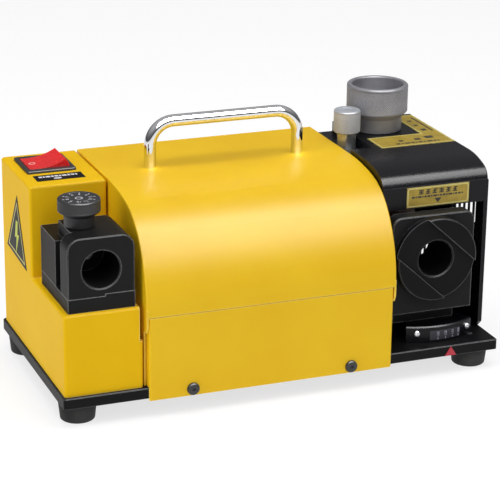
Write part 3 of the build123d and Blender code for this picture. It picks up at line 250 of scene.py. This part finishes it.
def grained(name, dark, light, drift_mm, grain_mm, grain_height_mm, rough, metallic=0.0, coat=0.0,
            edge=None, edge_mm=0.5, specular=0.5, stretch=(1.0, 1.0, 1.0)):
    """A finish with an even grain. The colour drifts between dark and light over drift_mm; the grain is
    grain_mm across and grain_height_mm deep, and moves the roughness between the two rough values. edge,
    where given, is a painted highlight: a lighter colour along sharp edges within edge_mm."""
    made, tree, shader, place = start_finish(name, metallic, coat, specular)
    drift = spread(tree, noise(tree, place, drift_mm), 0.0, 1.0)
    colour = mix(tree, drift, dark, light)
    # painted highlight: the edge colour lightens sharp edges as if they caught the light
    if edge:
        colour = mix(tree, edge_highlight_share(tree, edge_mm), colour, edge)
    tree.links.new(colour, shader.inputs["Base Color"])
    turned = add(tree, "ShaderNodeMapping", inputs={"Vector": place, "Scale": stretch}).outputs[0]
    grain = noise(tree, turned, grain_mm, 2.0)
    tree.links.new(spread(tree, grain, *rough), shader.inputs["Roughness"])
    bump = add(tree, "ShaderNodeBump", inputs={"Height": grain, "Distance": grain_height_mm * MM,
                                               "Strength": 1.0})
    tree.links.new(bump.outputs[0], shader.inputs["Normal"])
    return made


def lathed(name, dark, light, rough, centre, axis, ridge_mm=0.35, ridge_height_mm=0.004, metallic=1.0,
           edge=None, specular=0.5):
    """A turned finish: rings round the axis through centre. A Mapping node puts the axis at zero, the
    distance from it and the place along it are kept, and noise on those two gives the tool's ridges."""
    made, tree, shader, place = start_finish(name, metallic, 0.0, specular)
    centred = add(tree, "ShaderNodeMapping",
                  inputs={"Vector": place, "Location": -Vector(centre)}).outputs[0]
    along = [1.0 if letter == axis else 0.0 for letter in "XYZ"]
    flat = add(tree, "ShaderNodeVectorMath", {"operation": "MULTIPLY"},
               {0: centred, 1: [1.0 - a for a in along]}).outputs[0]
    radius = add(tree, "ShaderNodeVectorMath", {"operation": "LENGTH"}, {0: flat}).outputs["Value"]
    height = add(tree, "ShaderNodeVectorMath", {"operation": "DOT_PRODUCT"}, {0: centred, 1: along})
    rings = add(tree, "ShaderNodeCombineXYZ", inputs={0: radius, 1: height.outputs["Value"]}).outputs[0]
    ridge = noise(tree, rings, ridge_mm, 2.0)
    colour = mix(tree, spread(tree, noise(tree, place, 9.0), 0.0, 1.0), dark, light)
    # painted highlight: the edge colour lightens sharp edges as if they caught the light
    if edge:
        colour = mix(tree, edge_highlight_share(tree, 0.5), colour, edge)
    tree.links.new(colour, shader.inputs["Base Color"])
    tree.links.new(spread(tree, ridge, *rough), shader.inputs["Roughness"])
    bump = add(tree, "ShaderNodeBump", inputs={"Height": ridge, "Distance": ridge_height_mm * MM,
                                               "Strength": 1.0})
    tree.links.new(bump.outputs[0], shader.inputs["Normal"])
    return made


print("finishes: even grain and turned rings")

# %% [markdown]
# ### Painted and blackened steel
# The yellow is polyester powder, sprayed dry and baked on sheet steel. It levels into a faint orange peel
# about a millimetre across with a soft shine; a painted highlight makes it paler along the folds. The black
# powder on the plate and the grinding housing is the same paint with a finer, drier skin. The setting block
# and the seat are blackened, a thin matt oxide; a painted highlight makes it grey along every machined edge.

# %% Paint, oxide, plastic and rubber
# Each edge colour below is a painted highlight: a lighter line where an edge would catch the light.
yellow_powder = grained("yellow_powder_coat", "#ebbb0e", "#f0c417", 60.0, 1.3, 0.012, (0.34, 0.44),
                        coat=0.0, edge="#ffec84", edge_mm=0.8, specular=0.17)
box_powder = grained("yellow_powder_coat_box", "#eab90c", "#efc114", 60.0, 1.3, 0.012, (0.42, 0.52),
                     edge="#fff09a", edge_mm=0.9, specular=0.05)
black_powder = grained("black_powder_coat", "#050509", "#08080e", 40.0, 0.7, 0.012, (0.24, 0.34),
                       edge="#3e3e46", edge_mm=0.4, specular=0.2)
base_powder = grained("black_powder_coat_plate", "#050507", "#09090b", 40.0, 0.7, 0.012, (0.36, 0.5),
                      edge="#77777c", edge_mm=0.6, specular=0.12)
blackened = grained("blackened_steel", "#070708", "#0c0c0e", 14.0, 0.5, 0.01, (0.42, 0.6),
                    edge="#9a9a9a", edge_mm=0.7, specular=0.14)
black_anodised = grained("black_anodised_aluminium", "#050506", "#09090b", 20.0, 0.4, 0.006, (0.38, 0.52),
                         edge="#7c7c80", edge_mm=0.7, specular=0.1)
black_abs = grained("black_abs_moulding", "#1f2022", "#2a2b2d", 12.0, 0.6, 0.01, (0.35, 0.5),
                    edge="#4c4d50", edge_mm=0.3)
red_abs = grained("red_switch_plastic", "#d80c10", "#ee1519", 10.0, 2.0, 0.004, (0.2, 0.3), coat=0.1,
                  edge="#ff6a5a", edge_mm=0.5, specular=0.3)
foot_rubber = grained("moulded_rubber", "#171716", "#252524", 9.0, 0.6, 0.03, (0.6, 0.8), specular=0.35)
socket_plastic = grained("black_nylon_socket", "#17181a", "#222325", 8.0, 0.5, 0.01, (0.4, 0.55))
white_nylon = grained("white_nylon", "#d9d7cf", "#e6e4dc", 12.0, 0.8, 0.01, (0.4, 0.5), specular=0.4)
dial_plastic = grained("black_dial_plastic", "#141416", "#1d1d20", 8.0, 0.35, 0.012, (0.38, 0.55),
                       edge="#48484c", edge_mm=0.3)
gold_foil = grained("gold_foil_label", "#9c8218", "#b49a2c", 7.0, 0.4, 0.003, (0.4, 0.5), metallic=0.1,
                    edge="#dccf7c", edge_mm=0.5)
black_foil = grained("black_foil_label", "#070707", "#0e0d0b", 7.0, 0.4, 0.003, (0.4, 0.52),
                     edge="#3d3a2c", edge_mm=0.4, specular=0.12)
red_foil = grained("red_foil_pointer", "#b3122c", "#c81f3a", 4.0, 0.4, 0.003, (0.35, 0.5))
scale_foil = grained("dark_scale_foil", "#1a1824", "#24222e", 6.0, 0.4, 0.003, (0.35, 0.5))
white_ink = grained("white_ink", "#cfcfd6", "#e6e6ee", 3.0, 0.3, 0.002, (0.5, 0.6))
violet_ink = grained("pale_violet_ink", "#a9a5bc", "#c6c3d6", 3.0, 0.3, 0.002, (0.5, 0.6))
black_ink = grained("black_ink", "#1c1804", "#2c2508", 3.0, 0.3, 0.002, (0.5, 0.6))
pale_ink = grained("pale_border_ink", "#c9bd66", "#d8ce82", 3.0, 0.3, 0.002, (0.45, 0.55))
lime_ink = grained("lime_ink", "#b9c23c", "#cfd64e", 3.0, 0.3, 0.002, (0.5, 0.6))
abrasive = grained("vitrified_abrasive", "#8c7a72", "#b09c92", 1.5, 0.35, 0.12, (0.85, 0.95), specular=0.3)
rocker_ink = grained("pale_rocker_ink", "#f7b4a8", "#ffcfc6", 3.0, 0.3, 0.002, (0.35, 0.45))
print("paints and plastics ready")

# %% [markdown]
# ### Bare metals
# Metals keep Blender's default IOR and differ in colour and in how they were finished. The handle is
# bright chromium over polished rod, mirror-like but for faint wiping marks. The ring and the small knob
# are turned aluminium: one anodised dark grey, one left clear. Screws and shafts are plain steel, and
# inside sit cast aluminium bells, blued laminations and enamelled copper.

# %% Chromium, aluminium, steel, brass and copper
ring_low, ring_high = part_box("port_ring")
port_axis = ((ring_low + ring_high) / 2)[:]
knob_low, knob_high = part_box("relief_knob")
relief_axis = ((knob_low + knob_high) / 2)[:]
shaft_low, shaft_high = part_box("motor_shaft")
shaft_axis = ((shaft_low + shaft_high) / 2)[:]

chrome = grained("bright_chromium_plate", "#d9dadb", "#e6e7e8", 30.0, 6.0, 0.0, (0.03, 0.08), metallic=1.0)
# The edge colours of the ring and the knob are painted highlights along their sharp edges.
dark_anodised = lathed("grey_anodised_aluminium", "#707076", "#7f7f85", (0.42, 0.6), port_axis, "Z",
                       metallic=0.1, edge="#d8d8dc", specular=0.3)
clear_anodised = lathed("clear_anodised_aluminium", "#9da0a6", "#adb0b6", (0.34, 0.5), relief_axis,
                        "Z", metallic=0.15, edge="#f6f7f8", specular=0.3)
bright_steel = lathed("polished_steel", "#aeb0b3", "#bfc1c4", (0.14, 0.24), relief_axis, "Z",
                      metallic=0.7)
shaft_steel = lathed("ground_steel", "#a9aaab", "#bcbdbe", (0.22, 0.34), shaft_axis, "X")
screw_steel = grained("zinc_plated_steel", "#b9bbbd", "#cdcfd0", 3.0, 0.3, 0.004, (0.2, 0.34), metallic=1.0)
# The edge colour of the black screws is a painted highlight along their sharp edges.
black_screw = grained("black_oxide_screw", "#202022", "#2c2c2f", 3.0, 0.3, 0.006, (0.32, 0.48),
                      edge="#6c6c70", edge_mm=0.3)
cast_aluminium = grained("cast_aluminium", "#9a9c9e", "#b3b5b6", 12.0, 0.9, 0.05, (0.4, 0.6), metallic=1.0)
brass = grained("brass", "#b08d45", "#c6a25a", 5.0, 0.4, 0.004, (0.22, 0.36), metallic=1.0)
copper_wire = grained("enamelled_copper", "#8e4a22", "#a85c2e", 4.0, 0.8, 0.2, (0.25, 0.4), metallic=1.0,
                      stretch=(0.2, 1.0, 1.0))
laminations = grained("blued_laminations", "#4a4e58", "#5e636c", 6.0, 0.5, 0.03, (0.4, 0.55), metallic=1.0,
                      stretch=(1.0, 0.05, 0.05))
print("bare metals ready")

# %% Every CAD part gets its finish
dressed = {
    yellow_powder: "motor_cover front_panel",
    box_powder: "switch_box",
    black_powder: "grinding_housing seat_sector",
    base_powder: "base_plate motor_cradle",
    blackened: "setting_base setting_block setting_slab seat_block",
    black_anodised: "cam_disc keeper_ring port_tube port_sleeve",
    black_abs: "switch_body",
    red_abs: "rocker",
    foot_rubber: "rubber_feet",
    socket_plastic: "power_inlet capacitor",
    white_nylon: "terminal_block",
    dial_plastic: "length_dial",
    gold_foil: "band_label top_label",
    black_foil: "box_label hazard_label",
    red_foil: "angle_pointer",
    scale_foil: "scale_strip",
    chrome: "carry_handle",
    dark_anodised: "port_ring",
    clear_anodised: "relief_knob",
    bright_steel: "relief_bush guide_pin",
    shaft_steel: "motor_shaft wheel_flanges bearings swivel_pin stop_rod",
    screw_steel: "foot_screws inlet_screws rocker_pin clamp_screws handle_nuts housing_screws "
                 "block_screws cradle_screws capacitor_clip wheel_nut",
    black_screw: "panel_screws",
    cast_aluminium: "motor_shell left_end_bell right_end_bell fan",
    brass: "relief_nut inlet_pins switch_terminals",
    copper_wire: "stator_windings",
    laminations: "stator_core rotor_core",
    abrasive: "grinding_wheel",
}
waiting = set(frame["nodes"])
for finish, names in dressed.items():
    for node_name in names.split():
        for held in frame["nodes"][node_name].material_slots:
            held.material = finish
        waiting.discard(node_name)
print("parts without a finish:", sorted(waiting))

# %% [markdown]
# ## Turned and knurled knobs
# A knurl is rolled into a turned blank by two hardened wheels whose ridges lean opposite ways, so the
# surface is left with small pyramids. A bump would vanish at the outline, where fingers and eyes both
# notice it, so here the pyramids are real: the blank is a profile carried round its axis, and the radius
# is cut back by the deeper of two winding grooves.

# %% Shells from grids of points
def shell(name, points, faces, body, finish, sharp_degrees=32.0):
    """A piece from points in millimetres and faces by index. Doubled points are merged, so that seams and
    poles close, and faces are turned outwards. Edges that bend more than sharp_degrees stay crisp."""
    mesh = bpy.data.meshes.new(name)
    mesh.from_pydata((np.asarray(points, float) * MM).tolist(), [], [list(map(int, f)) for f in faces])
    work = bmesh.new()
    work.from_mesh(mesh)
    bmesh.ops.remove_doubles(work, verts=work.verts, dist=1e-7)
    bmesh.ops.recalc_face_normals(work, faces=work.faces)
    work.to_mesh(mesh)
    work.free()
    mesh.shade_smooth()
    mesh.set_sharp_from_angle(angle=math.radians(sharp_degrees))
    mesh.materials.append(finish)
    made = bpy.data.objects.new(name, mesh)
    bpy.context.scene.collection.objects.link(made)
    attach(made, body)
    print(name, len(mesh.polygons), "faces on", body)
    return made


def grid_quads(rows, columns, close_rows):
    """Quads between neighbours on a rows by columns grid whose columns always close into a ring."""
    row, column = np.meshgrid(np.arange(rows if close_rows else rows - 1), np.arange(columns),
                              indexing="ij")
    above, beside = (row + 1) % rows, (column + 1) % columns
    corners = (row * columns + column, row * columns + beside, above * columns + beside,
               above * columns + column)
    return np.stack(corners, -1).reshape(-1, 4)


def softened(profile, reach):
    """Each corner of a (radius, height) profile becomes three points of the parabola that touches both of
    its sides, reach away from it."""
    here = np.array(profile, float)
    back, ahead = np.roll(here, 1, 0) - here, np.roll(here, -1, 0) - here
    back_length = np.linalg.norm(back, axis=1, keepdims=True)
    ahead_length = np.linalg.norm(ahead, axis=1, keepdims=True)
    first = here + back / back_length * np.minimum(reach, back_length * 0.4)
    last = here + ahead / ahead_length * np.minimum(reach, ahead_length * 0.4)
    middle = (first + 2 * here + last) / 4
    soft = np.stack([first, middle, last], 1)
    on_axis = here[:, 0] < 1e-9
    soft[on_axis] = here[on_axis][:, None, :]
    return soft.reshape(-1, 2)


def refined(profile, step, radius):
    """More points, step apart, on the stretches of a profile that stand at this radius."""
    rows = []
    for start, end in zip(profile, np.roll(profile, -1, 0)):
        upright = abs(start[0] - radius) < 1e-6 and abs(end[0] - radius) < 1e-6
        count = max(1, round(abs(end[1] - start[1]) / step)) if upright else 1
        rows.append(start + (end - start) * (np.arange(count) / count)[:, None])
    return np.concatenate(rows)


def knurl(angle, height, radius, pitch, depth, low, high):
    """How far the blank is cut back: a groove runs where angle * teeth / 2 pi plus or minus
    height / pitch is a whole number, each groove is a triangle wave, and the deeper one counts. The cut
    fades out half a pitch from both ends."""
    teeth = round(2 * np.pi * radius / pitch)
    across, along = angle * teeth / (2 * np.pi), (height - low) / pitch
    waves = [np.abs((across + way * along) % 1 - 0.5) * 2 for way in (1, -1)]
    fade = np.clip(np.minimum(height - low, high - height) / (0.5 * pitch), 0, 1)
    return depth * np.maximum(*waves) * fade


def knurled(name, profile, centre, around, cut, body, finish):
    """A closed profile carried round an upright axis; cut says the knurl's radius, pitch, depth and ends."""
    radius, pitch, depth, low, high = cut
    rows = refined(softened(profile, 0.5), pitch / 6, radius)
    angle = np.linspace(0, 2 * np.pi, around, endpoint=False)[None, :]
    reach, height = rows[:, 0][:, None], rows[:, 1][:, None]
    on_knurl = (np.abs(reach - radius) < 1e-6) & (height > low) & (height < high)
    reach = reach - on_knurl * knurl(angle, height, radius, pitch, depth, low, high)
    points = np.stack(np.broadcast_arrays(centre[0] + reach * np.cos(angle),
                                          centre[1] + reach * np.sin(angle), height), -1)
    return shell(name, points.reshape(-1, 3), grid_quads(len(rows), around, True), body, finish)


# %% The knurled ring round the top port
port_x, port_y = port_axis[0] / MM, port_axis[1] / MM
ring_foot, ring_rim = ring_low.z / MM, ring_high.z / MM
RING_BORE, RING_NECK, COLLAR, COLLAR_BORE = 17.0, 18.4, 22.5, 18.75
COLLAR_HEIGHT, RING_CHAMFER, RING_FLOOR = 20.0, 4.0, 11.0
collar_foot = ring_rim - COLLAR_HEIGHT
RING_KNURL = (COLLAR, 1.45, 0.28, collar_foot + 1.2, ring_rim - 2.0)
ring_profile = [(RING_BORE, ring_foot), (RING_NECK, ring_foot), (RING_NECK, collar_foot - RING_CHAMFER),
                (COLLAR, collar_foot), (COLLAR, ring_rim - 1.1), (COLLAR - 1.1, ring_rim),
                (COLLAR_BORE + 0.9, ring_rim), (COLLAR_BORE, ring_rim - 0.9),
                (COLLAR_BORE, ring_foot + RING_FLOOR), (RING_BORE, ring_foot + RING_FLOOR)]
ring_teeth = round(2 * math.pi * COLLAR / RING_KNURL[1])
knurled_ring = knurled("knurled_port_ring", ring_profile, (port_x, port_y), ring_teeth * 6, RING_KNURL,
                       "ring", dark_anodised)
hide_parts("port_ring")

# %% The small relief knob and its polished stem
relief_x, relief_y = relief_axis[0] / MM, relief_axis[1] / MM
knob_top, stem_foot = knob_high.z / MM, knob_low.z / MM
KNOB, KNOB_HEIGHT, KNOB_STEM = 9.8, 17.0, 4.0
knob_foot = knob_top - KNOB_HEIGHT
KNOB_KNURL = (KNOB, 1.1, 0.2, knob_foot + 1.4, knob_top - 1.6)
knob_profile = [(0, stem_foot), (KNOB_STEM, stem_foot), (KNOB_STEM, knob_foot), (KNOB - 1.2, knob_foot),
                (KNOB, knob_foot + 1.2), (KNOB, knob_top - 0.8), (KNOB - 0.8, knob_top),
                (6.4, knob_top), (5.2, knob_top - 0.8), (3.2, knob_top - 0.8), (2.6, knob_top - 0.5),
                (0, knob_top - 0.5)]
knob_teeth = round(2 * math.pi * KNOB / KNOB_KNURL[1])
knurled_knob = knurled("knurled_relief_knob", knob_profile, (relief_x, relief_y), knob_teeth * 6,
                       KNOB_KNURL, "relief", clear_anodised)
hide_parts("relief_knob")

# %% The length dial
dial_low, dial_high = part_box("length_dial")
dial_x, dial_y = (dial_low.x + dial_high.x) / 2 / MM, (dial_low.y + dial_high.y) / 2 / MM
dial_top, dial_foot = dial_high.z / MM, dial_low.z / MM
DIAL, DIAL_NECK, DIAL_HEAD, NECK_HEIGHT, DIAL_BEVEL = 14.3, 10.25, 11.6, 7.4, 2.8
dial_head = dial_top - DIAL_HEAD
DIAL_KNURL = (DIAL, 1.25, 0.25, dial_head + DIAL_BEVEL + 0.8, dial_top - 1.4)
dial_profile = [(0, dial_foot), (5.5, dial_foot), (5.5, dial_foot + 3.0), (3.0, dial_foot + 3.0),
                (3.0, dial_head - NECK_HEIGHT), (DIAL_NECK, dial_head - NECK_HEIGHT),
                (DIAL_NECK, dial_head), (DIAL, dial_head + DIAL_BEVEL), (DIAL, dial_top - 0.8),
                (DIAL - 0.8, dial_top), (DIAL - 2.2, dial_top), (DIAL - 2.8, dial_top - 0.5),
                (0, dial_top - 0.5)]
dial_teeth = round(2 * math.pi * DIAL / DIAL_KNURL[1])
knurled_dial = knurled("knurled_length_dial", dial_profile, (dial_x, dial_y), dial_teeth * 6, DIAL_KNURL,
                       "dial", dial_plastic)
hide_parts("length_dial")

# %% [markdown]
# ## Printed marks
# The labels are foil with screen-printed ink, and the dial and the swing scale carry numerals. Ink stands
# a few hundredths of a millimetre above the foil. A painted pattern in the material would do from afar,
# but marks that are real, thin, closed plates stay sharp from any distance and keep their own finish.
# The wording and the maker's signs of such labels are left out: rows of plain bars stand in their place.

# %% Marks as thin closed plates
INK_SUNK, INK_PROUD = 0.03, 0.06


def mark(*rings):
    """Points (across, up, out) and faces of one plate. One ring of points is a filled mark: the ring
    twice, under and over the surface, with a cap on each. Two rings of as many points are an open one."""
    rings = [np.asarray(ring, float) for ring in rings]
    levels = [(0, -INK_SUNK), (0, INK_PROUD), (1, INK_PROUD), (1, -INK_SUNK)][:2 * len(rings)]
    count = len(rings[0])
    points = np.concatenate([np.column_stack([rings[ring], np.full(count, out)]) for ring, out in levels])
    faces = grid_quads(len(levels), count, len(rings) == 2).tolist()
    if len(rings) == 1:
        faces += [list(range(count)), list(range(count, 2 * count))]
    return points, faces


def bar(left, right, low, high):
    """A filled rectangle."""
    return mark([(left, low), (right, low), (right, high), (left, high)])


def rounded(left, right, low, high, radius, steps=6):
    """The ring of a rectangle with rounded corners: a quarter circle about each corner's centre."""
    quarter = np.linspace(0, np.pi / 2, steps)
    rows = []
    for turn, (x, y) in enumerate([(right, high), (left, high), (left, low), (right, low)]):
        inward = np.array([(-1, -1), (1, -1), (1, 1), (-1, 1)][turn]) * radius
        angle = quarter + turn * np.pi / 2
        rows.append(np.array([x, y]) + inward + radius * np.column_stack([np.cos(angle), np.sin(angle)]))
    return np.concatenate(rows)


def border(left, right, low, high, radius, width):
    """An open rounded rectangle, width wide."""
    inner = rounded(left + width, right - width, low + width, high - width, max(radius - width, 0.05))
    return mark(rounded(left, right, low, high, radius), inner)


def dashes(left, right, low, high, lengths, gap):
    """A row of bars whose lengths repeat from a short list, with a gap between them."""
    row, at, turn = [], left, 0
    while at + lengths[turn % len(lengths)] < right:
        row.append(bar(at, at + lengths[turn % len(lengths)], low, high))
        at += lengths[turn % len(lengths)] + gap
        turn += 1
    return row


def digits(text, size, across, up, turned=0.0):
    """Numerals as a closed plate: the text becomes a mesh, is centred, turned, and put in its place."""
    curve = bpy.data.curves.new("numeral", "FONT")
    curve.body, curve.size, curve.extrude, curve.resolution_u = text, size, 0.5, 3
    holder = bpy.data.objects.new("numeral", curve)
    mesh = bpy.data.meshes.new_from_object(holder)
    points = np.empty(len(mesh.vertices) * 3)
    mesh.vertices.foreach_get("co", points)
    points = points.reshape(-1, 3)
    faces = [list(face.vertices) for face in mesh.polygons]
    bpy.data.objects.remove(holder)
    flat = points[:, :2] - (points[:, :2].min(0) + points[:, :2].max(0)) / 2
    cos, sin = math.cos(turned), math.sin(turned)
    flat = flat @ np.array([(cos, sin), (-sin, cos)]) + (across, up)
    out = np.where(points[:, 2] > 0, INK_PROUD, -INK_SUNK)
    return np.column_stack([flat, out]), faces


def inked(name, parts, place, body, finish):
    """Several plates as one piece. place turns arrays of across, up and out into x, y and z."""
    starts = np.cumsum([0] + [len(points) for points, faces in parts])
    faces = [[start + i for i in face] for start, part in zip(starts, parts) for face in part[1]]
    points = np.column_stack(place(*np.concatenate([points for points, faces in parts]).T))
    return shell(name, points, faces, body, finish)


# %% The gold label on the band
band_low, band_high = [Vector(corner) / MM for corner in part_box("band_label")]
band_wide, band_tall = band_high.x - band_low.x, band_high.z - band_low.z


def on_band(across, up, out):
    """From the label's lower left corner, facing the front."""
    return band_low.x + across, band_low.y - out, band_low.z + up


inked("band_label_border", [border(0.4, band_wide - 0.4, 0.4, band_tall - 0.4, 1.8, 0.8)], on_band,
      "frame", pale_ink)
SIGN_STARTS, SIGN, SIGN_LOW, SIGN_HIGH = 9.0 + 5.25 * np.arange(6), 3.9, 9.0, 12.4
band_signs = []
for turn, start in enumerate(SIGN_STARTS):
    shift = (0.0, 0.5, 0.9)[turn % 3]
    band_signs += [bar(start + shift, start + SIGN - 0.3 * (turn % 2), 11.6, SIGN_HIGH),
                   bar(start + 0.3, start + SIGN - shift, 10.3, 11.1),
                   bar(start, start + SIGN - 0.4, SIGN_LOW, 9.8),
                   bar(start + 1.4, start + 2.3, SIGN_LOW + 0.1, SIGN_HIGH - 0.1)]
band_small = dashes(3.8, band_wide - 2.6, 6.6, 7.9, (2.2, 1.1, 3.0, 0.9, 1.7), 0.6)
band_arrow = mark([(21.2, 5.5), (24.0, 1.9), (26.8, 5.5)])
inked("band_label_signs", band_signs + band_small + [band_arrow], on_band, "frame",
      black_ink)

# %% The gold label on top, and the black one in front of the switch
top_low, top_high = [Vector(corner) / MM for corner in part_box("top_label")]
STRIP_DEEP, ARM_WIDE = 25.5, 15.5
top_wide, top_deep = top_high.x - top_low.x, top_high.y - top_low.y


def on_top(across, up, out):
    """From the label's front left corner, facing up."""
    return top_low.x + across, top_low.y + up, top_high.z + out


arm_left = top_wide - ARM_WIDE
outline = np.array([(0, 0), (top_wide, 0), (top_wide, top_deep), (arm_left, top_deep),
                    (arm_left, STRIP_DEEP), (0, STRIP_DEEP)])
inward = np.array([(1, 1), (-1, 1), (-1, -1), (1, -1), (1, -1), (1, -1)])
inked("top_label_border", [mark(outline + 0.5 * inward, outline + 1.3 * inward)], on_top, "frame",
      pale_ink)
top_signs = dashes(14.0, 50.0, 4.2, 7.0, (3.2, 1.6, 4.4, 2.2, 1.2), 1.0)
top_signs += [bar(19.0, 22.4, 10.5, 14.2), bar(31.5, 36.4, 10.8, 15.0), bar(41.0, 47.5, 12.5, 18.0)]
top_signs += [bar(arm_left + 4.5, arm_left + 8.5, 31.0, 36.0), bar(arm_left + 11.0, arm_left + 12.3, 29, 66),
              bar(arm_left + 4.5, arm_left + 7.5, 44.0, 47.5), bar(arm_left + 4.5, arm_left + 8.0, 56, 59)]
inked("top_label_signs", top_signs, on_top, "frame", black_ink)

box_low, box_high = [Vector(corner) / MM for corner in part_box("box_label")]


def on_box(across, up, out):
    """From the label's front left corner, facing up."""
    return box_low.x + across, box_low.y + up, box_high.z + out


box_signs = dashes(3.0, 31.5, 6.6, 9.6, (2.4, 1.3, 3.1, 1.8), 0.7)
box_signs.append(mark(rounded(12.5, 18.0, 2.0, 4.6, 1.2)))
inked("box_label_signs", box_signs, on_box, "frame", white_ink)

# %% The black triangle on the left side
hazard_low, hazard_high = [Vector(corner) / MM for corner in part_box("hazard_label")]
HAZARD = np.array([(65.3, 83.5), (36.2, 128.0), (14.8, 80.0)])


def on_side(back, up, out):
    """Straight y and z, standing out towards the left."""
    return np.full_like(back, hazard_low.x) - out, back, up


def shrunk(ring, by):
    """A triangle whose sides have moved inwards by this much: it shrinks about its inscribed circle's
    centre, in the ratio of the two radii."""
    sides = np.linalg.norm(np.roll(ring, -1, 0) - np.roll(ring, 1, 0), axis=1)
    centre = (ring * sides[:, None]).sum(0) / sides.sum()
    (ax, ay), (bx, by_), (cx, cy) = ring
    area = abs((bx - ax) * (cy - ay) - (cx - ax) * (by_ - ay)) / 2
    radius = 2 * area / sides.sum()
    return centre + (ring - centre) * (radius - by) / radius


inked("hazard_label_border", [mark(shrunk(HAZARD, 2.4), shrunk(HAZARD, 3.4))], on_side, "frame",
      pale_ink)
BOLT = np.array([(2.6, 12.5), (-2.0, 12.5), (-5.4, -0.6), (-1.2, 0.6), (-3.6, -12.5), (5.2, 3.6),
                 (0.9, 2.6)])
inked("hazard_label_bolt", [mark(BOLT * (-1, 1) + (37.8, 96.5))], on_side, "frame", lime_ink)

# %% Numerals of the swing scale
scale_low, scale_high = [Vector(corner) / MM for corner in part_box("scale_strip")]
swivel_low, swivel_high = [Vector(corner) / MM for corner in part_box("swivel_pin")]
swivel = (swivel_low + swivel_high) / 2
SCALE_RADIUS = 54.8
SCALE_ANGLES = np.radians((-1.5, 4.7, 10.9, 16.4))


def on_scale(across, up, out):
    """Round the swivel axis: across is an arc length, so the angle is across / radius."""
    angle, reach = across / SCALE_RADIUS, SCALE_RADIUS + out
    return swivel.x + reach * np.sin(angle), swivel.y - reach * np.cos(angle), scale_low.z + up


scale_marks = []
for text, angle in zip(("130", "120", "110", "100"), SCALE_ANGLES):
    across = angle * SCALE_RADIUS
    scale_marks += [digits(text, 2.6, across, 4.4, math.pi / 2), bar(across - 0.3, across + 0.3, 0.3, 1.6)]
inked("scale_numerals", scale_marks, on_scale, "seat", violet_ink)

# %% Numerals of the length dial
DIAL_DIGITS, DIGITS_RADIUS, TICK_START, TICK_END = 10, 7.9, 10.0, 11.3


def on_dial(across, up, out):
    """From the dial's axis, on the sunk floor of its top."""
    return dial_x + across, dial_y + up, np.full_like(across, dial_top - 0.5) + out


dial_marks = [mark(rounded(-2.6, 2.6, -2.6, 2.6, 2.59), rounded(-2.0, 2.0, -2.0, 2.0, 1.99))]
for turn in range(DIAL_DIGITS):
    angle = 2 * math.pi * turn / DIAL_DIGITS
    beside, ahead = np.array([math.cos(angle), math.sin(angle)]), np.array([-math.sin(angle),
                                                                           math.cos(angle)])
    dial_marks.append(digits(str(turn + 3), 3.4, *(DIGITS_RADIUS * beside), angle - math.pi / 2))
    tick = [TICK_START * beside - 0.3 * ahead, TICK_END * beside - 0.3 * ahead,
            TICK_END * beside + 0.3 * ahead, TICK_START * beside + 0.3 * ahead]
    dial_marks.append(mark(tick))
inked("dial_numerals", dial_marks, on_dial, "dial", white_ink)

# %% The ring on the rocker
OFF_X, OFF_Y, OFF_RADIUS, OFF_WIDTH = -144.0, 48.8, 2.4, 0.8
rocker = frame["nodes"]["rocker"]


def on_rocker(across, up, out):
    """Straight x and y; the height is found by letting each point fall onto the rocker."""
    fall = [rocker.ray_cast((x * MM, y * MM, cad_high[2]), (0, 0, -1))[1].z / MM for x, y in zip(across, up)]
    return across, up, np.array(fall) + out


round_mark = [np.array([OFF_X, OFF_Y]) + radius * np.column_stack([np.cos(turns), np.sin(turns)])
              for turns in [np.linspace(0, 2 * np.pi, 32, endpoint=False)]
              for radius in (OFF_RADIUS, OFF_RADIUS - OFF_WIDTH)]
inked("rocker_mark", [mark(*round_mark)], on_rocker, "rocker", rocker_ink)

# %% Close the lesson
print("CAD box", [round(v / MM, 1) for v in (*cad_low, *cad_high)])
